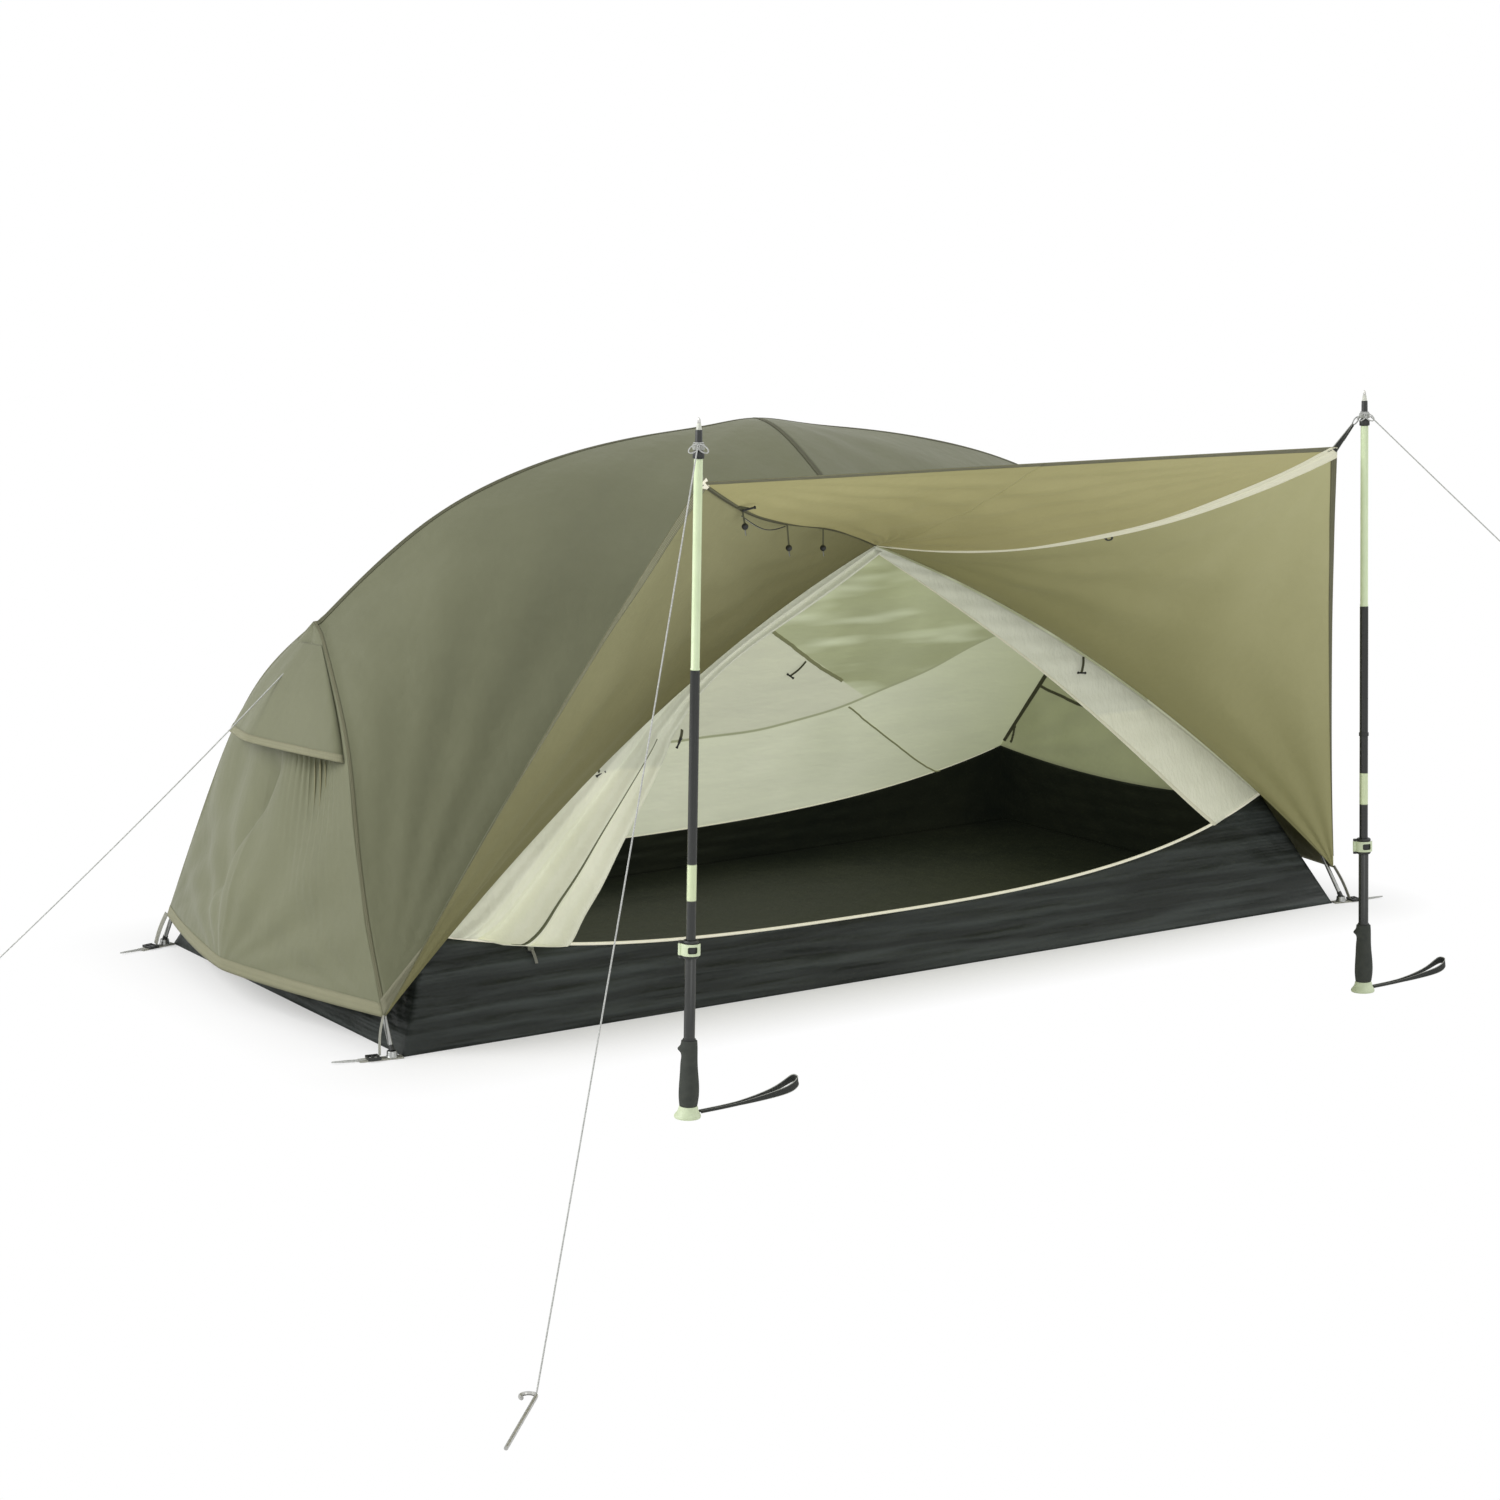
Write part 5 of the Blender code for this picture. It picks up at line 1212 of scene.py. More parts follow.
def turned(name, profile, material, foot, tip, body="tent", sides=64, bulge=None, replaces=(),
           slot="pole_dark", bore=None, crisp=34):
    """Turns (radius, height) rows about the line from foot to tip, closed by flat ends or by a bore."""
    origin, x, y, z = pole_frame(np.asarray(foot, float), np.asarray(tip, float))
    radius, height = np.asarray(profile, float).T
    angle = -np.linspace(0, 2 * math.pi, sides, endpoint=False)[None, :]
    r = radius[:, None] + (bulge(angle, height[:, None]) if bulge else 0 * angle)
    if bore:
        r = np.vstack([r, np.full((2, sides), bore)])
        height = np.append(height, [height[-1], height[0]])
    round_way = np.cos(angle)[..., None] * x + np.sin(angle)[..., None] * y
    ring = origin + height[:, None, None] * z + r[..., None] * round_way
    last = (len(height) - 1) * sides
    faces = quads(len(height), sides, True).tolist()
    if bore:
        faces += [[last + k, k, (k + 1) % sides, last + (k + 1) % sides] for k in range(sides)]
    else:
        faces += [list(range(sides)), list(range(last, last + sides))[::-1]]
    made = put_mesh(name, ring, faces, [material], body)
    made.data.set_sharp_from_angle(angle=math.radians(crisp))
    if replaces:
        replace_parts(made, *replaces)
    return made


def ribbon(name, path, width, flat, material, body="tent", thick=0.0011, rows=5):
    """Webbing along a path. flat is the way its face looks, for the run or for each point, width likewise."""
    path = np.asarray(path, float)
    side = unit(np.cross(np.gradient(path, axis=0), np.broadcast_to(flat, path.shape)))
    across = np.linspace(-0.5, 0.5, rows)[:, None, None] * np.broadcast_to(width, len(path))[None, :, None]
    return band(name, path[None] + across * side[None], material, body, thick)


def block(name, outline, depth, material, origin, x, y, z, body="tent", bevel=0.0006):
    """An outline in x and y, made deep along z, with small rounded edges."""
    flat = np.asarray(outline, float)
    n = len(flat)
    base = origin + flat[:, :1] * x + flat[:, 1:] * y
    faces = [list(range(n))[::-1], list(range(n, 2 * n))]
    faces += [[k, (k + 1) % n, (k + 1) % n + n, k + n] for k in range(n)]
    made = put_mesh(name, np.vstack([base, base + depth * z]), faces, [material], body, smooth=False)
    round_edges(made, bevel, 2)
    return made


def rounded(wide, high, radius, count=5):
    """Outline of a rectangle with round corners, centred."""
    corners = ((1, 1, 0), (-1, 1, math.pi / 2), (-1, -1, math.pi), (1, -1, 1.5 * math.pi))
    turn = np.linspace(0, math.pi / 2, count)
    return [(right * (wide / 2 - radius) + radius * math.cos(a + quarter),
             up * (high / 2 - radius) + radius * math.sin(a + quarter))
            for right, up, quarter in corners for a in turn]


def plain(dark, light, scale=40.0, rough=(0.4, 0.55), grain=0.00005, grain_scale=900.0):
    """A finish with a soft drift of tone and roughness and a fine grain."""
    def recipe(place, cloth):
        drift = place.noise(scale, 3.0)
        return {"Base Color": drift.above(0.5, 0.25).mix(dark, light),
                "Roughness": drift * (rough[1] - rough[0]) + rough[0],
                "Normal": bumped(place.noise(grain_scale, 2.0) * grain, 1.0)}
    return recipe


def tube_recipe(place, cloth):
    """Anodised tube: dark, with a lime sleeve from 366 to 426 mm and fine rings where it has slid."""
    height = place.axis("Z")
    sleeve = height.above(0.366) * (1.0 - height.above(0.426))
    scuff = place.noise(60.0, 4.0, 0.65, stretch=(6.0, 6.0, 0.3))
    tone = sleeve.mix(srgb(44, 46, 44), srgb(214, 226, 184))
    return {"Base Color": tone, "Roughness": 0.24 + scuff * 0.14, "Normal": bumped(scuff * 0.00004, 1.0)}


def webbing_recipe(dark, light, edge):
    """Woven ribs across the band, and a plain selvage along each side."""
    def recipe(place, cloth):
        along, across = cloth.axis("X"), cloth.axis("Y")
        rib = ((along * 2900.0) + ((across * 9.4).sin() * 1.4)).sin()
        selvage = (across - 0.5).abs().above(0.42, 0.02)
        # The light tone is also the emission colour; where a finish gives it strength the webbing glows,
        # which is painted light.
        return {"Base Color": selvage.mix(rib.above(0.0, 0.6).mix(dark, light), edge),
                "Emission Color": light, "Roughness": 0.72 + rib * 0.06, "Normal": bumped(rib * 0.0002, 1.0)}
    return recipe


ANODISED = {"Metallic": 0.35, "Coat_Weight": 0.35, "Coat_Roughness": 0.12}
TUBE = finish_of("pole tube, anodised", tube_recipe, **ANODISED)
TUBE_DARK = finish_of("pole tube, plain", plain(srgb(44, 46, 44), srgb(52, 54, 52), 60.0, (0.24, 0.36),
                                                0.00002), **ANODISED)
LIME = finish_of("lime tube, lacquered", plain(srgb(212, 229, 184), srgb(221, 235, 195), 25.0, (0.26, 0.36),
                                               0.00002), Coat_Weight=0.3, Coat_Roughness=0.15)
PALE, FOAM, HARD, STEEL, TIP_PALE = (finish_of(name, plain(*looks), **more) for name, looks, more in (
    ("pale green plastic, moulded", (srgb(205, 218, 182), srgb(215, 226, 193), 60.0, (0.42, 0.55)), {}),
    ("foam grip", (srgb(60, 64, 60), srgb(72, 75, 70), 90.0, (0.8, 0.92), 0.0003, 1500.0),
     {"Specular_IOR_Level": 0.25}),
    ("black plastic, moulded", (srgb(32, 34, 33), srgb(40, 42, 40), 80.0, (0.42, 0.56)), {}),
    ("tip, ground steel", (srgb(178, 178, 174), srgb(196, 195, 190), 200.0, (0.22, 0.34)), {"Metallic": 1.0}),
    ("tip cone, pale plastic", (srgb(206, 208, 196), srgb(216, 218, 206), 80.0, (0.4, 0.5)), {})))
# The olive ribbons glow: painted light, weak on the plain one and strong on the lit copy, which is also
# painted lighter, so the ribbons on the back wall stay light in its shade.
WEBBING, RIBBON, LIT_RIBBON = (
    finish_of(name, webbing_recipe(*tones), Specular_IOR_Level=0.3, **glow) for name, tones, glow in (
        ("webbing, dark", (srgb(40, 42, 40), srgb(66, 68, 65), srgb(168, 170, 163)), {}),
        ("ribbon, olive", (srgb(74, 75, 58), srgb(92, 93, 72), srgb(104, 105, 82)),
         {"Emission_Strength": 0.10}),
        ("ribbon, lit olive", (srgb(110, 112, 82), srgb(132, 134, 100), srgb(150, 152, 118)),
         {"Emission_Strength": 0.45})))
print("turned parts and finishes ready:", PALE.name, "|", WEBBING.name)

# %% [markdown]
# Each pole from the ground up: flared cap, foam grip with a finger spur, dark handle tube, flip-lock, the
# inner tube that slides in it, the lime top section, and the ferrule with its steel tip in the awning's
# loop. The flip-lock is a split clamp whose lever wraps it and swings out on a pin, so the lever and its
# knuckle ride on the lever's body.

# %% Trekking poles
LOCK_Z, LOCK_RADIUS, LOCK_HALF, LEVER_HALF, PIN_RADIUS = 0.285, 0.0125, 0.015, 0.010, 0.0016
LOCK_LOW, LOCK_HIGH, PIN_ANGLE, EAR_RADIUS, GAP = LOCK_Z - LOCK_HALF, LOCK_Z + LOCK_HALF, 150, 0.0031, 0.0003
KNUCKLE_RADIUS, PIN_REACH, GRIP_Z = PIN_RADIUS + 0.0019, LOCK_RADIUS + 0.0013, 0.0203
SPUR_WAY = math.atan2(math.sin(YAW), -math.cos(YAW))
CAP = [(0.0221, 0.0012), (0.0224, 0.0028), (0.0203, 0.0072), (0.0172, 0.0128), (0.0156, 0.0192)]
GRIP = [(0.0152, GRIP_Z + 0.002), (0.0166, GRIP_Z + 0.014), (0.0167, GRIP_Z + 0.034),
        (0.0152, GRIP_Z + 0.056), (0.0143, GRIP_Z + 0.074), (0.0142, GRIP_Z + 0.090),
        (0.0139, GRIP_Z + 0.103), (0.0134, 0.1304)]
CLAMP = [(0.0100, LOCK_LOW), (0.0120, LOCK_LOW), (0.0126, LOCK_LOW + 0.0008), (0.0134, LOCK_LOW + 0.0022),
         (0.0134, LOCK_LOW + 0.0040), (0.0128, LOCK_LOW + 0.0046), (0.0128, LOCK_HIGH - 0.0046),
         (0.0134, LOCK_HIGH - 0.0040), (0.0134, LOCK_HIGH - 0.0022), (0.0126, LOCK_HIGH - 0.0008),
         (0.0120, LOCK_HIGH), (0.0100, LOCK_HIGH)]


def spur(angle, height):
    """The finger spur near the top of the grip, and a palm side that is a little fuller."""
    aim = np.clip(np.cos(angle - SPUR_WAY), 0, 1)
    return (0.0052 * np.exp(-((height - 0.117) / 0.0045) ** 2) * aim ** 3
            - 0.0012 * np.exp(-((height - 0.104) / 0.008) ** 2) * aim
            + 0.0008 * np.cos(angle - SPUR_WAY + math.pi) * np.exp(-((height - 0.055) / 0.03) ** 2))


def flare(angle, height):
    """The cap's rim reaches a little further on the spur's side."""
    return 0.0011 * np.cos(angle - SPUR_WAY) * np.exp(-((height - 0.003) / 0.006) ** 2)


def smooth_profile(points, count):
    """Cubic through (radius, height) rows."""
    return spline([(r, 0.0, h) for r, h in points], count)[:, [0, 2]].tolist()


def strap_loop(name, foot):
    """A webbing loop that lies on edge: out along the ground, up into an open end, and back."""
    s = np.linspace(0.0, 1.0, 120)
    reach = np.sin(math.pi * s) ** 0.75
    x = foot[0] + 0.0235 + 0.1950 * reach
    y = foot[1] + np.sign(s - 0.5) * 0.0032 - 0.0135 * np.sin(2 * math.pi * s) * reach ** 2.0
    z = 0.0060 + 0.0220 * reach ** 4 + 0.0030 * np.sin(s * 9.0) ** 2 * reach
    path = evenly(np.stack([x, y, z], axis=1), 120)
    way = unit(np.gradient(path, axis=0))
    lean = np.stack([0 * s, 0 * s, 0.55 + 0.4 * np.sin(s * 11.0)], axis=1)
    width = 0.0050 + 0.0085 * np.clip((path[:, 0] - foot[0] - 0.10) / 0.10, 0, 1)
    return ribbon(name, path, width, np.cross(way, Z) + lean * 0.6, WEBBING)


def lock_lever(name, centre, x, y, z, body):
    """A thin shell round the clamp with a window in its middle and round corners, cut out face by face."""
    sweep, up = shares(97, 25, np.radians((154, 322)), (0.0002 - LEVER_HALF, LEVER_HALF - 0.0002))
    around = np.cos(sweep)[..., None] * x + np.sin(sweep)[..., None] * y
    shell = centre + z * up[..., None] + (PIN_REACH + 0.0012) * around
    faces = quads(25, 97)
    mid = shell.reshape(-1, 3)[faces].mean(1) - centre
    turn = np.degrees(np.arctan2(mid @ y, mid @ x)) % 360
    window = (np.abs((turn - 252) / 33) ** 6 + np.abs((mid @ z) / 0.0056) ** 6) < 1
    corner = (np.abs((turn - 238) / 84.5) ** 14 + np.abs((mid @ z) / 0.0099) ** 9) > 1
    made = put_mesh(name, shell, faces[~window & ~corner], [PALE], body)
    thicken(made, 0.0022)
    round_edges(made, 0.0005, 3, angle_limit=math.radians(50))
    return made


def flip_lock(name, foot, tip, lever_body):
    """The split clamp, the ears and rivets that hold the pin, and the lever with its knuckle."""
    turned(name % "clamp_dressed", CLAMP, HARD, foot, tip, replaces=[name % "lock_clamp"], bore=0.0096)
    centre, x, y, z = pole_frame(foot, tip, LOCK_Z)
    angle = math.radians(PIN_ANGLE)
    out, over = math.cos(angle) * x + math.sin(angle) * y, -math.sin(angle) * x + math.cos(angle) * y
    reach = PIN_REACH + KNUCKLE_RADIUS
    pin = centre + out * reach
    ear = [(LOCK_RADIUS - 0.001, -0.0027)]
    ear += [(reach + EAR_RADIUS * math.cos(q), EAR_RADIUS * math.sin(q))
            for q in np.radians(np.linspace(-90, 90, 9))]
    ear += [(LOCK_RADIUS - 0.001, 0.0027)]
    for number, (low, high) in enumerate(((2 * GAP - LOCK_HALF, -LEVER_HALF - GAP),
                                          (LEVER_HALF + GAP, LOCK_HALF - 2 * GAP))):
        block(name % "lock_ear_%d" % number, ear, high - low, HARD, centre + z * low, out, over, z,
              bevel=0.0003)
    for number, low in enumerate((0.0002 - LOCK_HALF, LOCK_HALF - 0.0010)):
        high = low + 0.0008
        turned(name % "lock_rivet_%d" % number, [
            (PIN_RADIUS + 0.0004, low), (PIN_RADIUS + 0.0006, low + 0.0002),
            (PIN_RADIUS + 0.0006, high - 0.0002), (PIN_RADIUS + 0.0003, high)], STEEL, pin, pin + z, sides=32)
    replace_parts(lock_lever(name % "lever_dressed", centre, x, y, z, lever_body), name % "lock_lever")
    turned(name % "lever_knuckle", [
        (KNUCKLE_RADIUS - 0.0004, 0.0002 - LEVER_HALF), (KNUCKLE_RADIUS, 0.0006 - LEVER_HALF),
        (KNUCKLE_RADIUS, LEVER_HALF - 0.0006), (KNUCKLE_RADIUS - 0.0004, LEVER_HALF - 0.0002)],
        PALE, pin, pin + z, body=lever_body, sides=40, slot="pole_lime")


def trekking_pole(word):
    """Everything round on one pole; its upper tubes ride on the sliding body."""
    foot, tip = POLES[word]
    name, end = word + "_pole_%s", float(np.linalg.norm(tip - foot))

    def piece(key, profile, material, node=None, **more):
        taken = [name % node] if node else ()
        return turned(name % key, profile, material, foot, tip, replaces=taken, **more)

    def sliding(key, profile, material, node=None, **more):
        return piece(key, profile, material, node, body=word + "_pole_upper", **more)

    piece("cap_dressed", [(0.0195, 0.0), (0.0215, 0.0002), *smooth_profile(CAP, 18), (0.0150, 0.0200)], PALE,
          "cap", bulge=flare, slot="pole_lime")
    piece("grip_dressed", [(0.0140, GRIP_Z), (0.0149, GRIP_Z + 0.0008), *smooth_profile(GRIP, 60),
                           (0.0125, 0.1312)], FOAM, "grip",
          sides=96, bulge=spur, slot="grip_foam", bore=0.0097)
    piece("grip_collar", [(0.0098, 0.1312), (0.0108, 0.1314), (0.0108, 0.1338), (0.0100, 0.1344)], HARD,
          bore=0.0095)
    piece("handle_tube_dressed", [(0.0090, GRIP_Z), (0.0093, GRIP_Z), (0.0093, 0.2965), (0.0090, 0.2970)],
          TUBE_DARK, "handle_tube", bore=0.0084)
    flip_lock(name, foot, tip, word + "_lock_lever")
    sliding("upper_tube_dressed", [(0.0072, 0.150), (0.0080, 0.150), (0.0080, 0.7442), (0.0072, 0.745)],
            TUBE, "upper_tube")
    sliding("lime_tube_dressed", [(0.0070, 0.7453), (0.0078, 0.7455), (0.0078, 0.7480), (0.0072, 0.7492),
                                  (0.0072, 1.0843), (0.0068, 1.0847)], LIME, "lime_tube", slot="pole_lime")
    sliding("ferrule_dressed", [(0.0070, 1.0850), (0.0092, 1.0852), (0.0095, 1.0860), (0.0095, 1.0950),
                                (0.0090, 1.0958), (0.0064, 1.0980), (0.0060, 1.0990), (0.0056, end - 0.0205),
                                (0.0050, end - 0.0196)], HARD, "ferrule_tip")
    sliding("tip_cone", [(0.0048, end - 0.0200), (0.0046, end - 0.0190), (0.0034, end - 0.0100),
                         (0.0030, end - 0.0092)], TIP_PALE, sides=40)
    sliding("tip_steel", [(0.0026, end - 0.0098), (0.0027, end - 0.0085), (0.0022, end - 0.0030),
                          (0.0016, end - 0.0008), (0.0008, end - 0.0001)], STEEL, sides=32)
    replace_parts(strap_loop(name % "wrist_strap_dressed", foot), name % "wrist_strap")


for word in POLES:
    trekking_pole(word)
turned("right_pole_collar", [(0.0083, 0.4975), (0.0092, 0.4980), (0.0092, 0.5040), (0.0083, 0.5045)], HARD,
       *POLES["right"], body="right_pole_upper")
pole_parts = sum("_pole_" in o.name and not o.name.startswith("leg") for o in bpy.data.objects)
print("trekking pole parts:", pole_parts)

# %% [markdown]
# The inner door is unzipped and drawn to the foot side. Its cloth hangs in long folds from the tie near the
# middle of the left edge down to the sill, and above the tie it is a thin roll along the door's edge. One
# grid between the sewn edge and the free edge does all of it: the folds are sines across the cloth that
# grow towards the sill.

# %% Gathered inner door
FRONT_LEAN, PANEL_LIFT = np.array([0.0, -0.92, 0.39]), -0.0014


def eased(path, times=3):
    """A path with small steps smoothed away, each point (a + 2b + c) / 4, and its ends kept."""
    path = np.array(path)
    for _ in range(times):
        path[1:-1] = (path[:-2] + 2 * path[1:-1] + path[2:]) / 4
    return path


def nearest(grid, points, lift, fine=4):
    """Points moved onto a grid and lifted along its normal, and the normals there."""
    rows, columns = grid.shape[:2]
    u, v = shares(fine * columns, fine * rows)
    surface, out = read(grid, u, v).reshape(-1, 3), read(normals(grid), u, v).reshape(-1, 3)
    found = [int(np.argmin(((surface - p) ** 2).sum(1))) for p in points]
    return eased(surface[found] + out[found] * lift), unit(eased(out[found]))


def sewn(name, grid, points, width, material):
    """A ribbon sewn onto a panel along the nearest spots to a few points."""
    path, out = nearest(grid, spline(points, 60), PANEL_LIFT)
    return ribbon(name, path, width, out, material, thick=0.0009)


DOOR_ROWS, TIE_SHARE = 150, 0.47
FREE_EDGE = [(-0.842, -0.470, 0.139), (-0.795, -0.474, 0.128), (-0.752, -0.468, 0.150),
             (-0.722, -0.455, 0.182), (-0.680, -0.448, 0.232), (-0.632, -0.440, 0.300),
             (-0.585, -0.430, 0.362), (-0.540, -0.420, 0.422), (-0.508, -0.412, 0.466),
             (-0.468, -0.408, 0.528), (-0.408, -0.402, 0.588), (-0.336, -0.400, 0.638),
             (-0.204, -0.394, 0.704), (-0.048, -0.388, 0.782), (0.016, -0.386, 0.818)]
sewn_edge = evenly(door_run[:81], DOOR_ROWS) + np.array([0.004, -0.002, 0.004])
free_edge = spline(FREE_EDGE, DOOR_ROWS)
t = np.linspace(0.0, 1.0, DOOR_ROWS)[:, None]
s = np.linspace(0.0, 1.0, 90)[None, :]
loose = np.clip(1 - t / 0.46, 0, 1) ** 0.8
folds = (0.0045 + 0.016 * loose) * np.sin(2 * math.pi * (2.1 * s ** 1.3 + 0.25 * t) + 0.4)
folds = folds * np.sin(math.pi * s) ** 0.5
fine = 0.0035 * np.sin(2 * math.pi * 6.5 * s + 5 * t) * (0.25 + loose)
folds = folds + fine * np.sin(math.pi * s) ** 0.6
roll = 0.016 * np.exp(-((s - 0.86) / 0.13) ** 2) * (0.5 + 0.5 * loose)
tie = 0.004 * np.exp(-((t - TIE_SHARE) / 0.02) ** 2)
bunch = sewn_edge[:, None] + s[..., None] * (free_edge - sewn_edge)[:, None]
bunch = bunch + (folds + roll - tie)[..., None] * np.array([0.10, -1.0, 0.12])
bunch[..., 2] -= 0.004 * np.sin(math.pi * s) * loose
rim = rim_run(FRONT, 80)
bunch[..., 2] = np.maximum(bunch[..., 2], np.interp(bunch[..., 0], rim[:, 0], rim[:, 2]) + 0.0050)
bunch = facing(bunch.transpose(1, 0, 2), (0, -1, 0.4))
inner_cloth("inner_door_cloth", bunch, DOOR, "inner_door", 0.0012, "inner_front_cloth")
print("door bunch: %.0f mm wide at the sill" % (1000 * np.linalg.norm(free_edge[0] - sewn_edge[0])))

# %% [markdown]
# Small sewn things finish the inner tent. A pale zip runs along the sill and up the doorway's head side.
# Olive ribbons reinforce the back corners, and T-bar toggles on short loops tie the rolled door. Each
# ribbon is laid on the nearest spot of its panel, so it lies on the cloth whatever its folds do.

# %% Zips, ribbons and toggles of the inner tent
def piping_recipe(place, cloth):
    tone = place.noise(60.0, 2.0)
    return {"Base Color": tone.above(0.5, 0.3).mix(srgb(226, 222, 202), srgb(240, 237, 218)),
            "Roughness": 0.55 + tone * 0.1, "Emission Color": srgb(232, 229, 210),
            "Normal": bumped(place.noise(500.0, 1.0) * 0.0002, 1.0)}


def dark_tape(place, cloth):
    tooth = (cloth.axis("X") * (2 * math.pi / TOOTH_STEP)).sin().above(0.0, 0.3)
    return {"Base Color": tooth.mix(srgb(96, 102, 72), srgb(128, 133, 98)), "Roughness": 0.6 - tooth * 0.15,
            "Normal": bumped(tooth * 0.0004, 1.0)}


def rim_piping(name, side, end, count, shift, radius):
    """A round piping on the rim, between x = -end and x = end."""
    run = rim_run(side, 200)
    run = evenly(run[(run[:, 0] > -end) & (run[:, 0] < end)], count) + np.array(shift)
    cord_curve(name, run, radius, PIPING)


# The piping glows with its own pale tone: painted light that keeps it bright in the tent's shade.
PIPING = finish_of("sill zip, coiled", piping_recipe, Specular_IOR_Level=0.4, Emission_Strength=0.35)
rim_piping("inner_sill_piping", FRONT, 1.012, 180, (0.0, 0.0002, 0.0032), 0.0030)
rim_piping("inner_back_piping", REAR, 1.0, 160, (0.0, -0.0010, 0.0010), 0.0012)
head_half = slice(81, 161)
strip_rows = strip if np.abs(strip[0, :, 2] - door_run[:, 2]).max() < 0.05 else strip[::-1]
strip_rows = strip_rows if strip_rows[0, 0, 0] < 0 else strip_rows[:, ::-1]
zip_side = facing(strip_rows[:, head_half], (0, -1, 0.5))
zipped = "top" if np.linalg.norm(zip_side[0].mean(0) - door_run[head_half].mean(0)) < 0.02 else "bottom"
band("inner_door_zip", along_edge(zip_side, zipped, 0.0065, 0.0011), TAPE)
zip_line = facing(read(bunch, *np.meshgrid(np.linspace(0.02, 0.46, 70), [0.62, 0.645])), (0, -1, 0.4))
DARK_TAPE = finish_of("door zip, olive", dark_tape)
band("inner_door_zip_free", zip_line + 0.0012 * normals(zip_line), DARK_TAPE)
for ending, points, width in (
        ("", [(0.158, 0.210, 0.592), (0.290, 0.262, 0.516), (0.424, 0.300, 0.442)], 0.0085),
        ("_low", [(0.468, 0.338, 0.375), (0.66, 0.42, 0.26), (0.850, 0.482, 0.150)], 0.0040),
        ("_top", [(0.060, 0.145, 0.700), (0.158, 0.210, 0.592)], 0.0060)):
    sewn("inner_ribbon_back" + ending, back_wall, points, width, LIT_RIBBON)
corner_seam = side_edges[HEAD, REAR]
tail = corner_seam[int(len(corner_seam) * 0.30):-2]
ribbon("inner_ribbon_head_corner", tail + np.array([-0.0030, -0.0040, 0.0]), 0.0095, (-0.7, -0.7, 0.1),
       RIBBON)
FORK = ((-9, (-0.004, -0.008, 0.0)), (-4, (-0.004, -0.028, 0.004)), (-1, (-0.004, -0.040, 0.012)))
sewn("inner_ribbon_head_fork", inner_ends[HEAD], [corner_seam[k] + np.array(shift) for k, shift in FORK],
     0.0060, RIBBON)
CROSS = [corner_seam[int(len(corner_seam) * 0.66)], (1.012, 0.230, 0.362), (1.014, 0.120, 0.350),
         (1.012, -0.05, 0.350)]
sewn("inner_ribbon_head_cross", inner_ends[HEAD], CROSS, 0.0075, RIBBON)


def toggle(name, hang, rest, bar_way, out, body="tent", bar=0.011, radius=0.0022):
    """A short webbing loop from one point to another, with a T-bar across its end."""
    hang, rest, out = (np.asarray(p, float) for p in (hang, rest, out))
    run = spline([hang, (hang + rest) / 2 + out * 0.0035, rest + out * 0.0010], 24)
    loop = ribbon(name + "_loop", run, 0.0055, out, RIBBON, body)
    way, length = unit(np.asarray(bar_way, float)), 2 * bar
    profile = [(radius * 0.5, 0), (radius * 1.25, 0.0005), (radius * 1.25, 0.0022), (radius * 0.85, 0.0034)]
    profile += [(r, length - height) for r, height in profile[::-1]]
    return loop, turned(name + "_bar", profile, HARD, rest - way * bar + out * 0.0020,
                        rest + way * bar + out * 0.0020, body, sides=24, slot="black_plastic")


right_column = front_run[int(INNER_COLUMNS * 0.755)]
for ending, hang, rest, bar_way, out in (
        ("left", (-0.668, -0.402, 0.480), (-0.650, -0.412, 0.446), (0.9, 0.0, 0.35), FRONT_LEAN),
        ("tie", (-0.470, -0.415, 0.514), (-0.484, -0.424, 0.490), (0.5, 0.0, 0.86), FRONT_LEAN),
        ("back", (0.300, 0.268, 0.500), (0.262, 0.276, 0.470), (0.8, 0.1, -0.5), (0.0, -0.86, -0.5)),
        ("right", right_column + np.array([-0.004, 0.001, 0.002]),
         right_column + np.array([-0.022, -0.014, -0.030]), (0.95, 0.0, -0.1), FRONT_LEAN)):
    toggle("inner_toggle_" + ending, hang, rest, bar_way, out)
small = sum(o.name.startswith(("inner_ribbon", "inner_toggle")) for o in bpy.data.objects)
print("small parts of the inner tent:", small)

# %% [markdown]
# The frame is hooped aluminium tube in plastic hubs. The ridge has two sections, and each end has two legs
# whose tips stand in eyelets on the floor's corner straps. At each corner a grey webbing strap also pulls
# the fly's hem down to a buckle, with a loop of cord beyond it for a stake.

# %% Frame, hubs and corner straps
ALLOY = finish_of("frame tube, anodised", plain(srgb(150, 152, 150), srgb(168, 169, 166), 90.0, (0.28, 0.4),
                                                0.00002), Metallic=0.9)
GREY_WEB = finish_of("webbing, grey", webbing_recipe(srgb(128, 128, 118), srgb(158, 158, 146),
                                                     srgb(172, 172, 160)), Specular_IOR_Level=0.3)
ALLOY_WIRE = finish_of("stake wire", plain(srgb(172, 172, 168), srgb(192, 192, 188), 120.0, (0.24, 0.36),
                                           0.00002), Metallic=0.95)
LEG_START, EYE_OUT, PULL_OUT = 0.0235, 0.078, 0.022
BALL = [(0.0092 * math.cos(a), 0.0092 * math.sin(a)) for a in np.radians(np.linspace(-84, 84, 25))]
SLEEVE = [(0.0060, 0.0), (0.0072, 0.0030), (0.0072, 0.0362), (0.0077, 0.0370), (0.0077, 0.0438),
          (0.0070, 0.0448), (0.0056, 0.0450), (0.0054, 0.0440)]
EYELET = [(0.0105, 0.0026), (0.0115, 0.0028), (0.0115, 0.0040), (0.0100, 0.0060), (0.0092, 0.0132),
          (0.0086, 0.0140), (0.0075, 0.0138), (0.0072, 0.0096)]
LEG_END = [(0.0047, 0.0), (0.0052, 0.0006), (0.0052, 0.0100), (0.0047, 0.0110)]


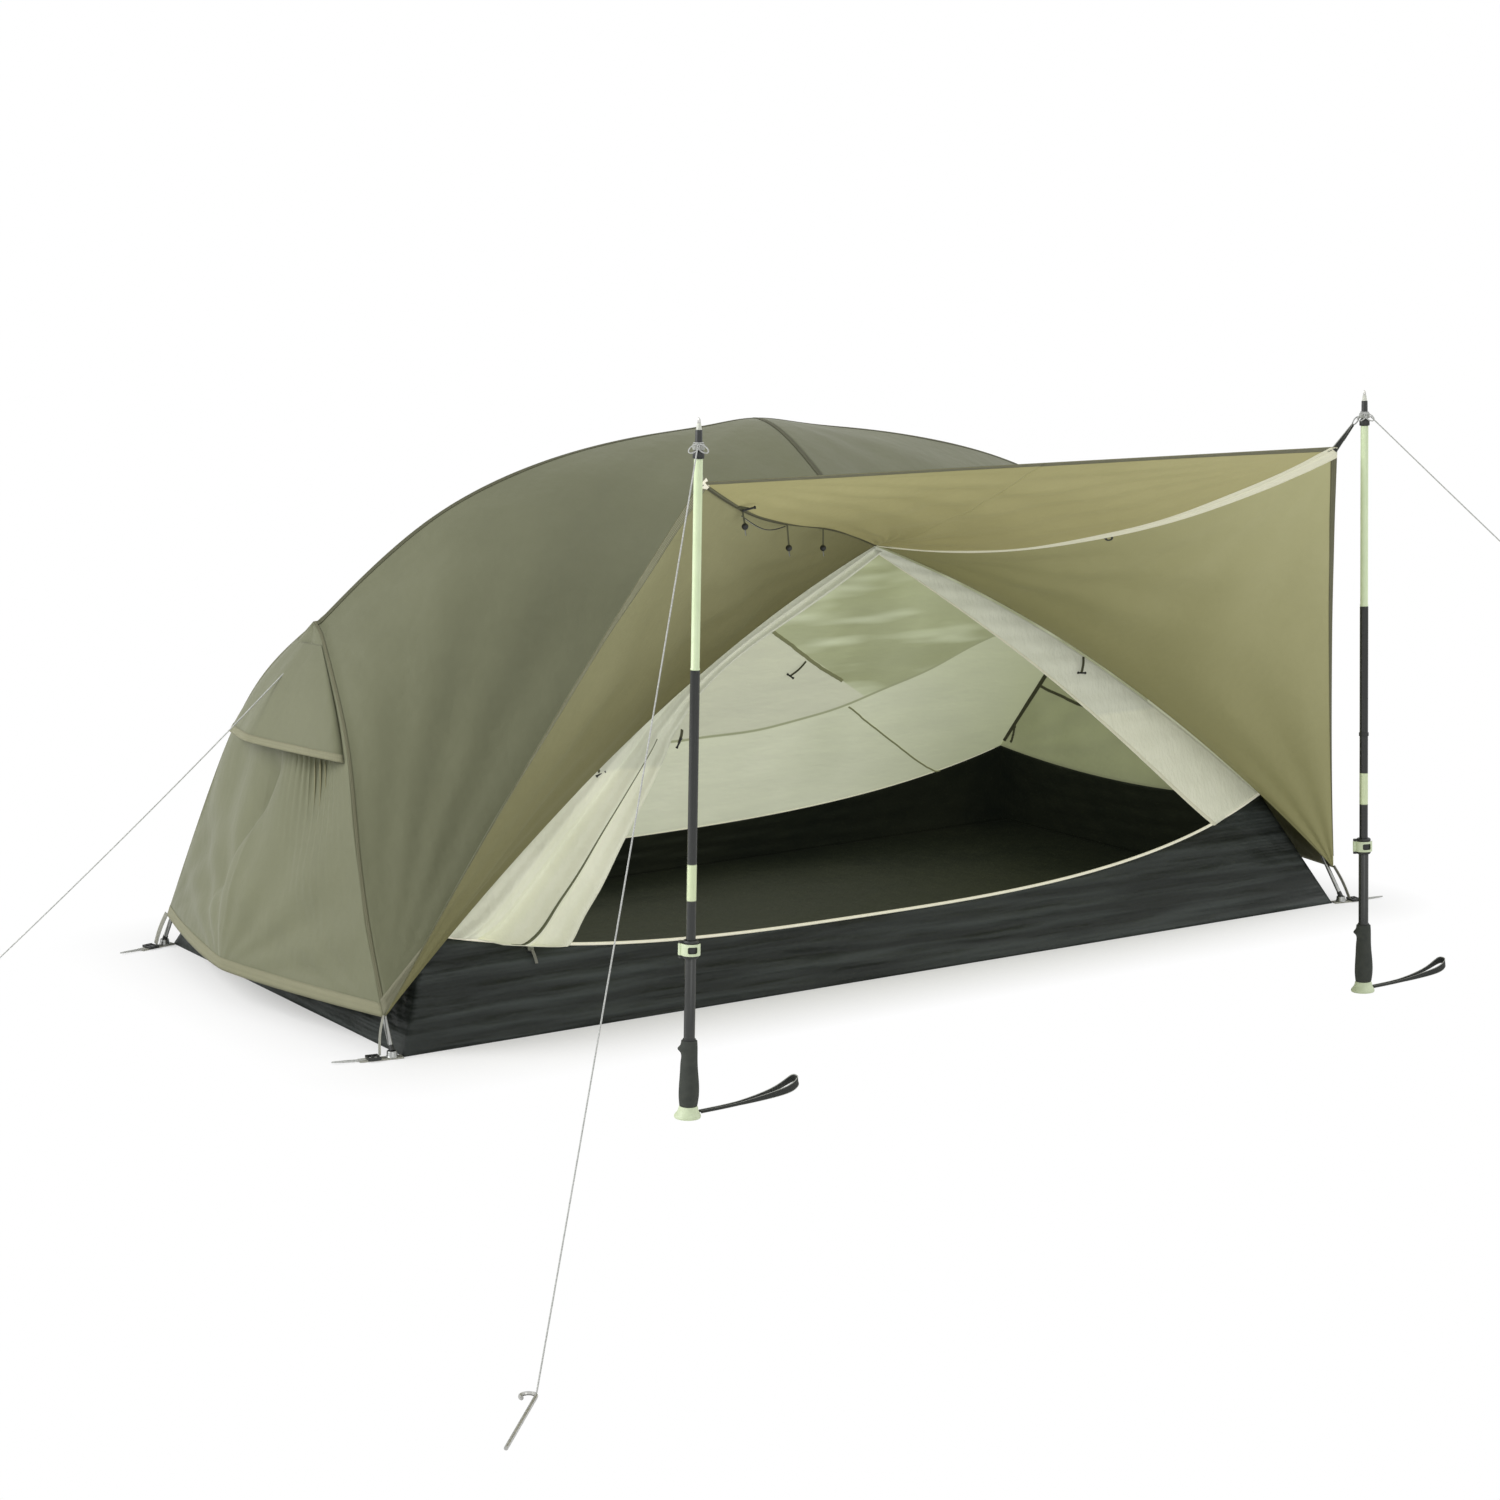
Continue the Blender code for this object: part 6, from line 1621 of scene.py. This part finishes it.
def frame_tube(name, points, radius, replaced=None):
    made = cord_curve(name, points, radius, ALLOY)
    if replaced:
        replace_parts(made, replaced)


def ridge_run(x):
    """Points of the ridge pole's centre line at the given x."""
    return np.stack([x, 0 * x, ridge_height(x)], 1)


def dress(node, material, bevel=0.0003):
    """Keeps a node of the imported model, with a finish and slightly rounded edges."""
    piece = frame["nodes"][node]
    piece.data.materials.clear()
    piece.data.materials.append(material)
    round_edges(piece, bevel, 2)


def buckle(key, ground, way, across):
    """Three bars across the strap and a side piece at each end of them."""
    for number, shift in enumerate((0.024, 0.034, 0.044)):
        block("corner_buckle_bar_%s_%d" % (key, number), rounded(0.0038, 0.026, 0.0012), 0.0040, HARD,
              ground + way * shift + 0.0026 * Z, way, across, Z, bevel=0.0005)
    for number, shift in enumerate((-0.0125, 0.0125)):
        block("corner_buckle_side_%s_%d" % (key, number), rounded(0.0230, 0.0036, 0.0015), 0.0048, HARD,
              ground + way * 0.034 + across * shift + 0.0024 * Z, way, across, Z)


def corner_set(end, side, key):
    """Strap, eyelet, leg tip, buckle, pull-down strap and stake loop of one corner."""
    tip = leg(end, side)[-1]
    corner = np.array([end * HALF_FLOOR, side * float(half_width(np.array(end * HALF_FLOOR))), 0.0])
    ground = np.array([tip[0], tip[1], 0.0])
    way, reach = unit(ground - corner), float(np.linalg.norm(ground - corner))
    across = np.array([-way[1], way[0], 0.0])
    run = line(corner + way * 0.003, corner + way * (reach + 0.060), 40) + 0.0014 * Z
    strap = ribbon("corner_webbing_" + key, run, 0.020, Z, GREY_WEB, thick=0.0022)
    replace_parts(strap, "corner_strap_" + key)
    turned("corner_eyelet_" + key, EYELET, ALLOY, ground, ground + Z, sides=48, slot="pole_alloy")
    turned("leg_tip_" + key, LEG_END, HARD, tip, leg(end, side)[-6], sides=32, slot="black_plastic")
    buckle(key, ground, way, across)
    start = leg_corner(end, side) + np.array([end * 0.001, side * 0.001, 0.004])
    stop = ground + way * PULL_OUT + 0.0075 * Z
    pull = spline([start, (start + stop) / 2 + way * 0.003, stop], 40)
    ribbon("corner_pull_" + key, pull, 0.0115, unit(np.cross(stop - start, across)), GREY_WEB, thick=0.0012)
    t = np.linspace(0, 2 * math.pi, 60)
    loop = ground + way * EYE_OUT + way * (0.030 * np.cos(t))[:, None]
    loop = loop + across * (0.0055 * np.sin(t) * (0.7 - 0.3 * np.cos(t)))[:, None]
    loop[:, 2] = 0.0016 + 0.0022 * (1 - np.cos(t - math.pi)) * 0.5
    cord_curve("corner_loop_" + key, loop, 0.0013, GUY)


for _, word in ENDS:
    low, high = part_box("ridge_pole_" + word)
    frame_tube("ridge_tube_" + word, ridge_run(np.linspace(low[0] + 0.0010, high[0] - 0.0010, 90)),
               POLE_RADIUS, "ridge_pole_" + word)
x = np.linspace(-0.02, 0.02, 6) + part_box("ridge_pole_foot")[1][0]
frame_tube("ridge_joint_ring", ridge_run(x), POLE_RADIUS + 0.0004)
frame_tube("brow_tube", brow(), BROW_RADIUS, "brow_pole")
for end, word in ENDS:
    hub = HUB[end]
    ways = [unit(ridge[14 if end < 0 else -15] - hub)]
    for side, place in SIDES:
        run = evenly(leg(end, side, 200), 160)
        ways.append(unit(run[5] - hub))
        frame_tube("leg_tube_%s_%s" % (word, place), run[steps(run) > LEG_START], POLE_RADIUS,
                   "leg_pole_%s_%s" % (word, place))
    turned("hub_ball_" + word, BALL, HARD, hub, hub + Z, sides=48, replaces=["hub_" + word],
           slot="black_plastic")
    for number, way in enumerate(ways):
        turned("hub_sleeve_%s_%d" % (word, number), SLEEVE, HARD, hub, hub + way, sides=40,
               slot="black_plastic")
for node in ("ridge_clip_foot", "ridge_clip_head", "brow_hub", "vent_prop"):
    dress(node, HARD)
for word in STAKES:
    dress("guy_stake_" + word, ALLOY_WIRE, 0.0001)
for end, word in ENDS:
    for side, place in SIDES:
        corner_set(end, side, "%s_%s" % (word, place))
low, high = (np.array(c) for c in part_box("door_slider"))
dress("door_slider", ALLOY)
top = np.array([(low[0] + high[0]) / 2, low[1] - 0.0004, (low[2] + high[2]) / 2])
pull = spline([top + np.array(shift) for shift in ((0, 0, 0.0010), (0.003, -0.0042, -0.010),
                                                   (0.004, -0.0105, -0.024))], 20)
ribbon("door_slider_pull", pull, 0.0055, (0, -1.0, 0.2), GREY_WEB, body="door_slider", thick=0.0012)

# %% [markdown]
# The awning hangs from the poles by webbing: a ring round each ferrule and a strap to the hem corner, with
# the guyline knotted beside it. Along the left zip hang the toggles that tie the awning when it is rolled
# up. The pieces at the poles ride on the pole's upper part, and those on the cloth are listed with the
# awning's pieces.

# %% Awning straps, knots and toggles
RING_Z, ZIP_FACE = FERRULE_START + 0.0135, (0.5, -0.86, 0.0)
RING = [(0.0068, RING_Z), (0.0092, RING_Z + 0.0002), (0.0098, RING_Z + 0.0014), (0.0098, RING_Z + 0.0086),
        (0.0092, RING_Z + 0.0098), (0.0068, RING_Z + 0.0100)]
DROP = [(0.0058 * math.cos(a), 0.0058 * math.sin(a)) for a in np.radians(np.linspace(-82, 82, 15))]


def torus(name, centre, a, b, wide, high, radius, material, body):
    """A closed ring: centre + wide cos(t) a + high sin(t) b."""
    t = np.linspace(0, 2 * math.pi, 64)
    points = centre + wide * np.cos(t)[:, None] * a + high * np.sin(t)[:, None] * b
    cord_curve(name, points, radius, material, body)


def knot(word, upper):
    """Two leaning loops and one round the ferrule."""
    for number, (wide, high, turn) in enumerate(((0.0100, 0.0050, 0.6), (0.0100, 0.0050, -0.6))):
        a = right * math.cos(turn) + up * math.sin(turn)
        b = up * math.cos(turn) - right * math.sin(turn)
        shift = -forward * 0.0108 + (right * 0.0070 * (1 if number else -1)) - up * 0.003
        torus("guy_knot_%s_%d" % (word, number), on_pole(word, RING_Z + 0.004) + shift, a, b, wide, high,
              0.0011, GUY, upper)
    torus("guy_knot_%s_2" % word, on_pole(word, RING_Z + 0.0115), X, Y, 0.0074, 0.0074, 0.0011, GUY, upper)


for word, web in (("left", GREY_WEB), ("right", WEBBING)):
    upper, corner, centre = word + "_pole_upper", CORNERS[word], on_pole(word, RING_Z + 0.005)
    turned("awning_ring_" + word, RING, WEBBING, *POLES[word], body=upper, slot="webbing")
    near = centre + unit((corner - centre) * (X + Y)) * 0.0102
    far = corner + 0.0015 * Z
    link, aim = near + (far - near) * 0.30, unit(far - near)
    flat = unit(np.cross(aim, np.cross(-Y, aim)))
    side = np.cross(flat, aim)
    torus("awning_link_" + word, near + (link - near) * 0.55, aim, side, 0.0085, 0.0045, 0.0012, ALLOY, upper)
    strap = ribbon("awning_strap_" + word, line(link, far + aim * 0.010, 30), np.linspace(0.0060, 0.0150, 30),
                   flat, web, body=upper, thick=0.0014)
    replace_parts(strap, "awning_tab_" + word)
    tail = line(link + flat * 0.0016, link + (far - link) * 0.7 + side * 0.004, 24)
    ribbon("awning_strap_tail_" + word, tail, 0.0050, flat, WEBBING, body=upper, thick=0.0010)
    knot(word, upper)
patch_run = line(CORNERS["left"] + np.array([0.002, -0.004, -0.001]),
                 awning_zip(FOOT, 60)[-3] - 0.004 * Y, 12)
on_awning("left", ribbon("awning_corner_patch", patch_run, np.linspace(0.0200, 0.0080, 12),
                         (-0.5, -0.86, 0.0), PIPING, None))


def zip_point(end, share, shift=(0.0, 0.0, 0.0)):
    """The point at a share of an awning zip's length, moved by a shift."""
    return read(awning_zip(end, 40)[None].repeat(2, 0), share, 0.0) + np.array(shift)


def hanging(name, share, drop, swing):
    """A narrow strap that hangs from the left zip, with a cord ball at its end."""
    start = zip_point(FOOT, share, (0.001, -0.0015, -0.001))
    stop = start + np.array([swing, 0.0, -drop])
    on_awning("left", ribbon(name + "_strap", line(start, stop, 20), 0.0050, ZIP_FACE, RIBBON, None))
    on_awning("left", turned(name + "_ball", DROP, HARD, stop - 0.003 * Z, stop + Z, None, 32,
                             slot="black_plastic"))
    tail = line(stop - 0.008 * Z, stop - np.array([-0.002, 0, 0.018]), 6)
    on_awning("left", ribbon(name + "_tail", tail, 0.0018, ZIP_FACE, WEBBING, None, 0.0016))


for name, share, drop, swing in (("awning_tie_a", 0.56, 0.040, 0.004), ("awning_tie_b", 0.35, 0.034, 0.0),
                                 ("awning_tie_c", 0.80, 0.026, 0.006)):
    hanging(name, share, drop, swing)
for made in toggle("awning_toggle", zip_point(FOOT, 0.82, (-0.004, -0.002, 0.0)),
                   zip_point(FOOT, 0.82, (0.018, -0.006, -0.004)), (0.98, -0.1, 0.18), (0.2, -0.98, 0.0),
                   None, bar=0.013):
    on_awning("left", made)
slack = spline([zip_point(FOOT, share, (0, *shift)) for share, shift in (
    (0.80, (-0.002, -0.012)), (0.68, (-0.004, -0.019)), (0.57, (-0.002, -0.006)))], 30)
on_awning("left", ribbon("awning_tie_cord", slack, 0.0018, ZIP_FACE, WEBBING, None, 0.0016))
spot, out = nearest(wings[HEAD], [zip_point(HEAD, 0.52, (0.0, 0.004, -0.012))] * 3, 0.0)
GROMMET = [(0.0040, 0.0004), (0.0050, 0.0010), (0.0075, 0.0012), (0.0085, 0.0004), (0.0085, -0.0004)]
on_awning("right", turned("awning_grommet", GROMMET, HARD, spot[1],
                          spot[1] + out[1] * (1 if out[1] @ -forward > 0 else -1), None, 40,
                          slot="black_plastic"))
print("pieces on the awning:", len(BLENDS))

# %% [markdown]
# Each piece on the awning gets a line where it would stay with the tent: the crease for a side, and the
# centre line for half of the ceiling. Its place is then baked into its mesh.

# %% Bake the awning pieces in place
for name, word in BLENDS.items():
    on_side = "side" in name or "grommet" in name
    still = leg_corner(dict(LEFT_RIGHT)[word]) if on_side else sum(CORNERS.values()) / 2
    along = unit(apex - still)
    start = still + along * float((CORNERS[word] - still) @ along)
    follow_pole(bpy.data.objects[name], word)
print("pieces that follow a pole:", len(BLENDS))

# %% [markdown]
# A plain white studio: a floor that keeps the object's soft shadow, a white surround for the camera and for
# gloss, and large soft lamps. The light level is plain, so a colour renders about as it is written. The
# camera sees the floor glow white, fully so beyond a quarter of a metre from the tent and less under it,
# where the shadow belongs.

# %% Floor, surround and lamps
NEAR_GLOW, AMBIENT = 0.38, 0.50
SHADOW_X, SHADOW_Y, SHADOW_REACH, SHADOW_SOFT = 1.12, 0.53, 0.115, 0.13
FLOOR_HALF, FLOOR_Z = 30, -0.0005


def studio_floor():
    """White all over, and glowing to the camera by the distance from the tent's own footprint."""
    material = bpy.data.materials.new("studio floor")
    material.use_nodes = True
    tree = material.node_tree
    tree.nodes.clear()
    matt = tree.nodes.new("ShaderNodeBsdfDiffuse")
    matt.inputs["Color"].default_value = (0.95, 0.95, 0.95, 1)
    glow = tree.nodes.new("ShaderNodeEmission")
    glow.inputs["Strength"].default_value = 1.0
    rays = tree.nodes.new("ShaderNodeLightPath")
    blend = tree.nodes.new("ShaderNodeMixShader")
    out = tree.nodes.new("ShaderNodeOutputMaterial")
    place = Sock(tree, tree.nodes.new("ShaderNodeTexCoord").outputs["Object"])
    out_x, out_y = (place.math("MAXIMUM", place.axis(letter).abs() - half, 0.0)
                    for letter, half in (("X", SHADOW_X), ("Y", SHADOW_Y)))
    far = ((out_x ** 2.0 + out_y ** 2.0) ** 0.5).above(SHADOW_REACH, SHADOW_SOFT)
    share = Sock(tree, rays.outputs["Is Camera Ray"]) * (far * (1 - NEAR_GLOW) + NEAR_GLOW)
    for source, target in ((share.socket, blend.inputs[0]), (matt.outputs[0], blend.inputs[1]),
                           (glow.outputs[0], blend.inputs[2]), (blend.outputs[0], out.inputs["Surface"])):
        tree.links.new(source, target)
    return material


floor_mesh = bpy.data.meshes.new("floor")
square = [(x * FLOOR_HALF, y * FLOOR_HALF, FLOOR_Z) for x, y in ((-1, -1), (1, -1), (1, 1), (-1, 1))]
floor_mesh.from_pydata(square, [], [(0, 1, 2, 3)])
floor_mesh.materials.append(studio_floor())
floor = bpy.data.objects.new("floor", floor_mesh)
bpy.context.collection.objects.link(floor)
floor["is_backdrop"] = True

world = bpy.data.worlds.new("studio")
bpy.context.scene.world = world
world.use_nodes = True
tree = world.node_tree
rays = tree.nodes.new("ShaderNodeLightPath")
seen, gloss, through = (Sock(tree, rays.outputs["Is %s Ray" % kind]) for kind in (
    "Camera", "Glossy", "Transmission"))
bright = seen.math("MAXIMUM", seen.math("MAXIMUM", seen, gloss), through)
tree.links.new((bright * (1 - AMBIENT) + AMBIENT).socket, tree.nodes["Background"].inputs["Strength"])
tree.nodes["Background"].inputs["Color"].default_value = (1, 1, 1, 1)


def lamp(name, place, target, size, power):
    """A square soft lamp that points from its place to its target."""
    light = bpy.data.lights.new(name, "AREA")
    light.energy, light.size = power, size
    made = bpy.data.objects.new(name, light)
    bpy.context.collection.objects.link(made)
    way = (Vector(target) - Vector(place)).normalized()
    made.matrix_world = Matrix.Translation(place) @ way.to_track_quat("-Z", "Y").to_matrix().to_4x4()


lamp("high right", (3.5, -2.0, 4.5), (0.2, -0.4, 0.5), 3.0, 95.0)
lamp("foot side", (-4.6, 0.6, 3.0), (-0.6, 0.0, 0.4), 2.6, 150.0)
lamp("front fill", (-1.5, -5.5, 2.2), (0.0, -0.6, 0.4), 3.0, 30.0)
bpy.context.scene.view_settings.view_transform = "Standard"

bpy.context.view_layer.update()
for before, after in zip(BOX_BEFORE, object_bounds()):
    print("corner", [round(v, 3) for v in before], "->", [round(v, 3) for v in after])
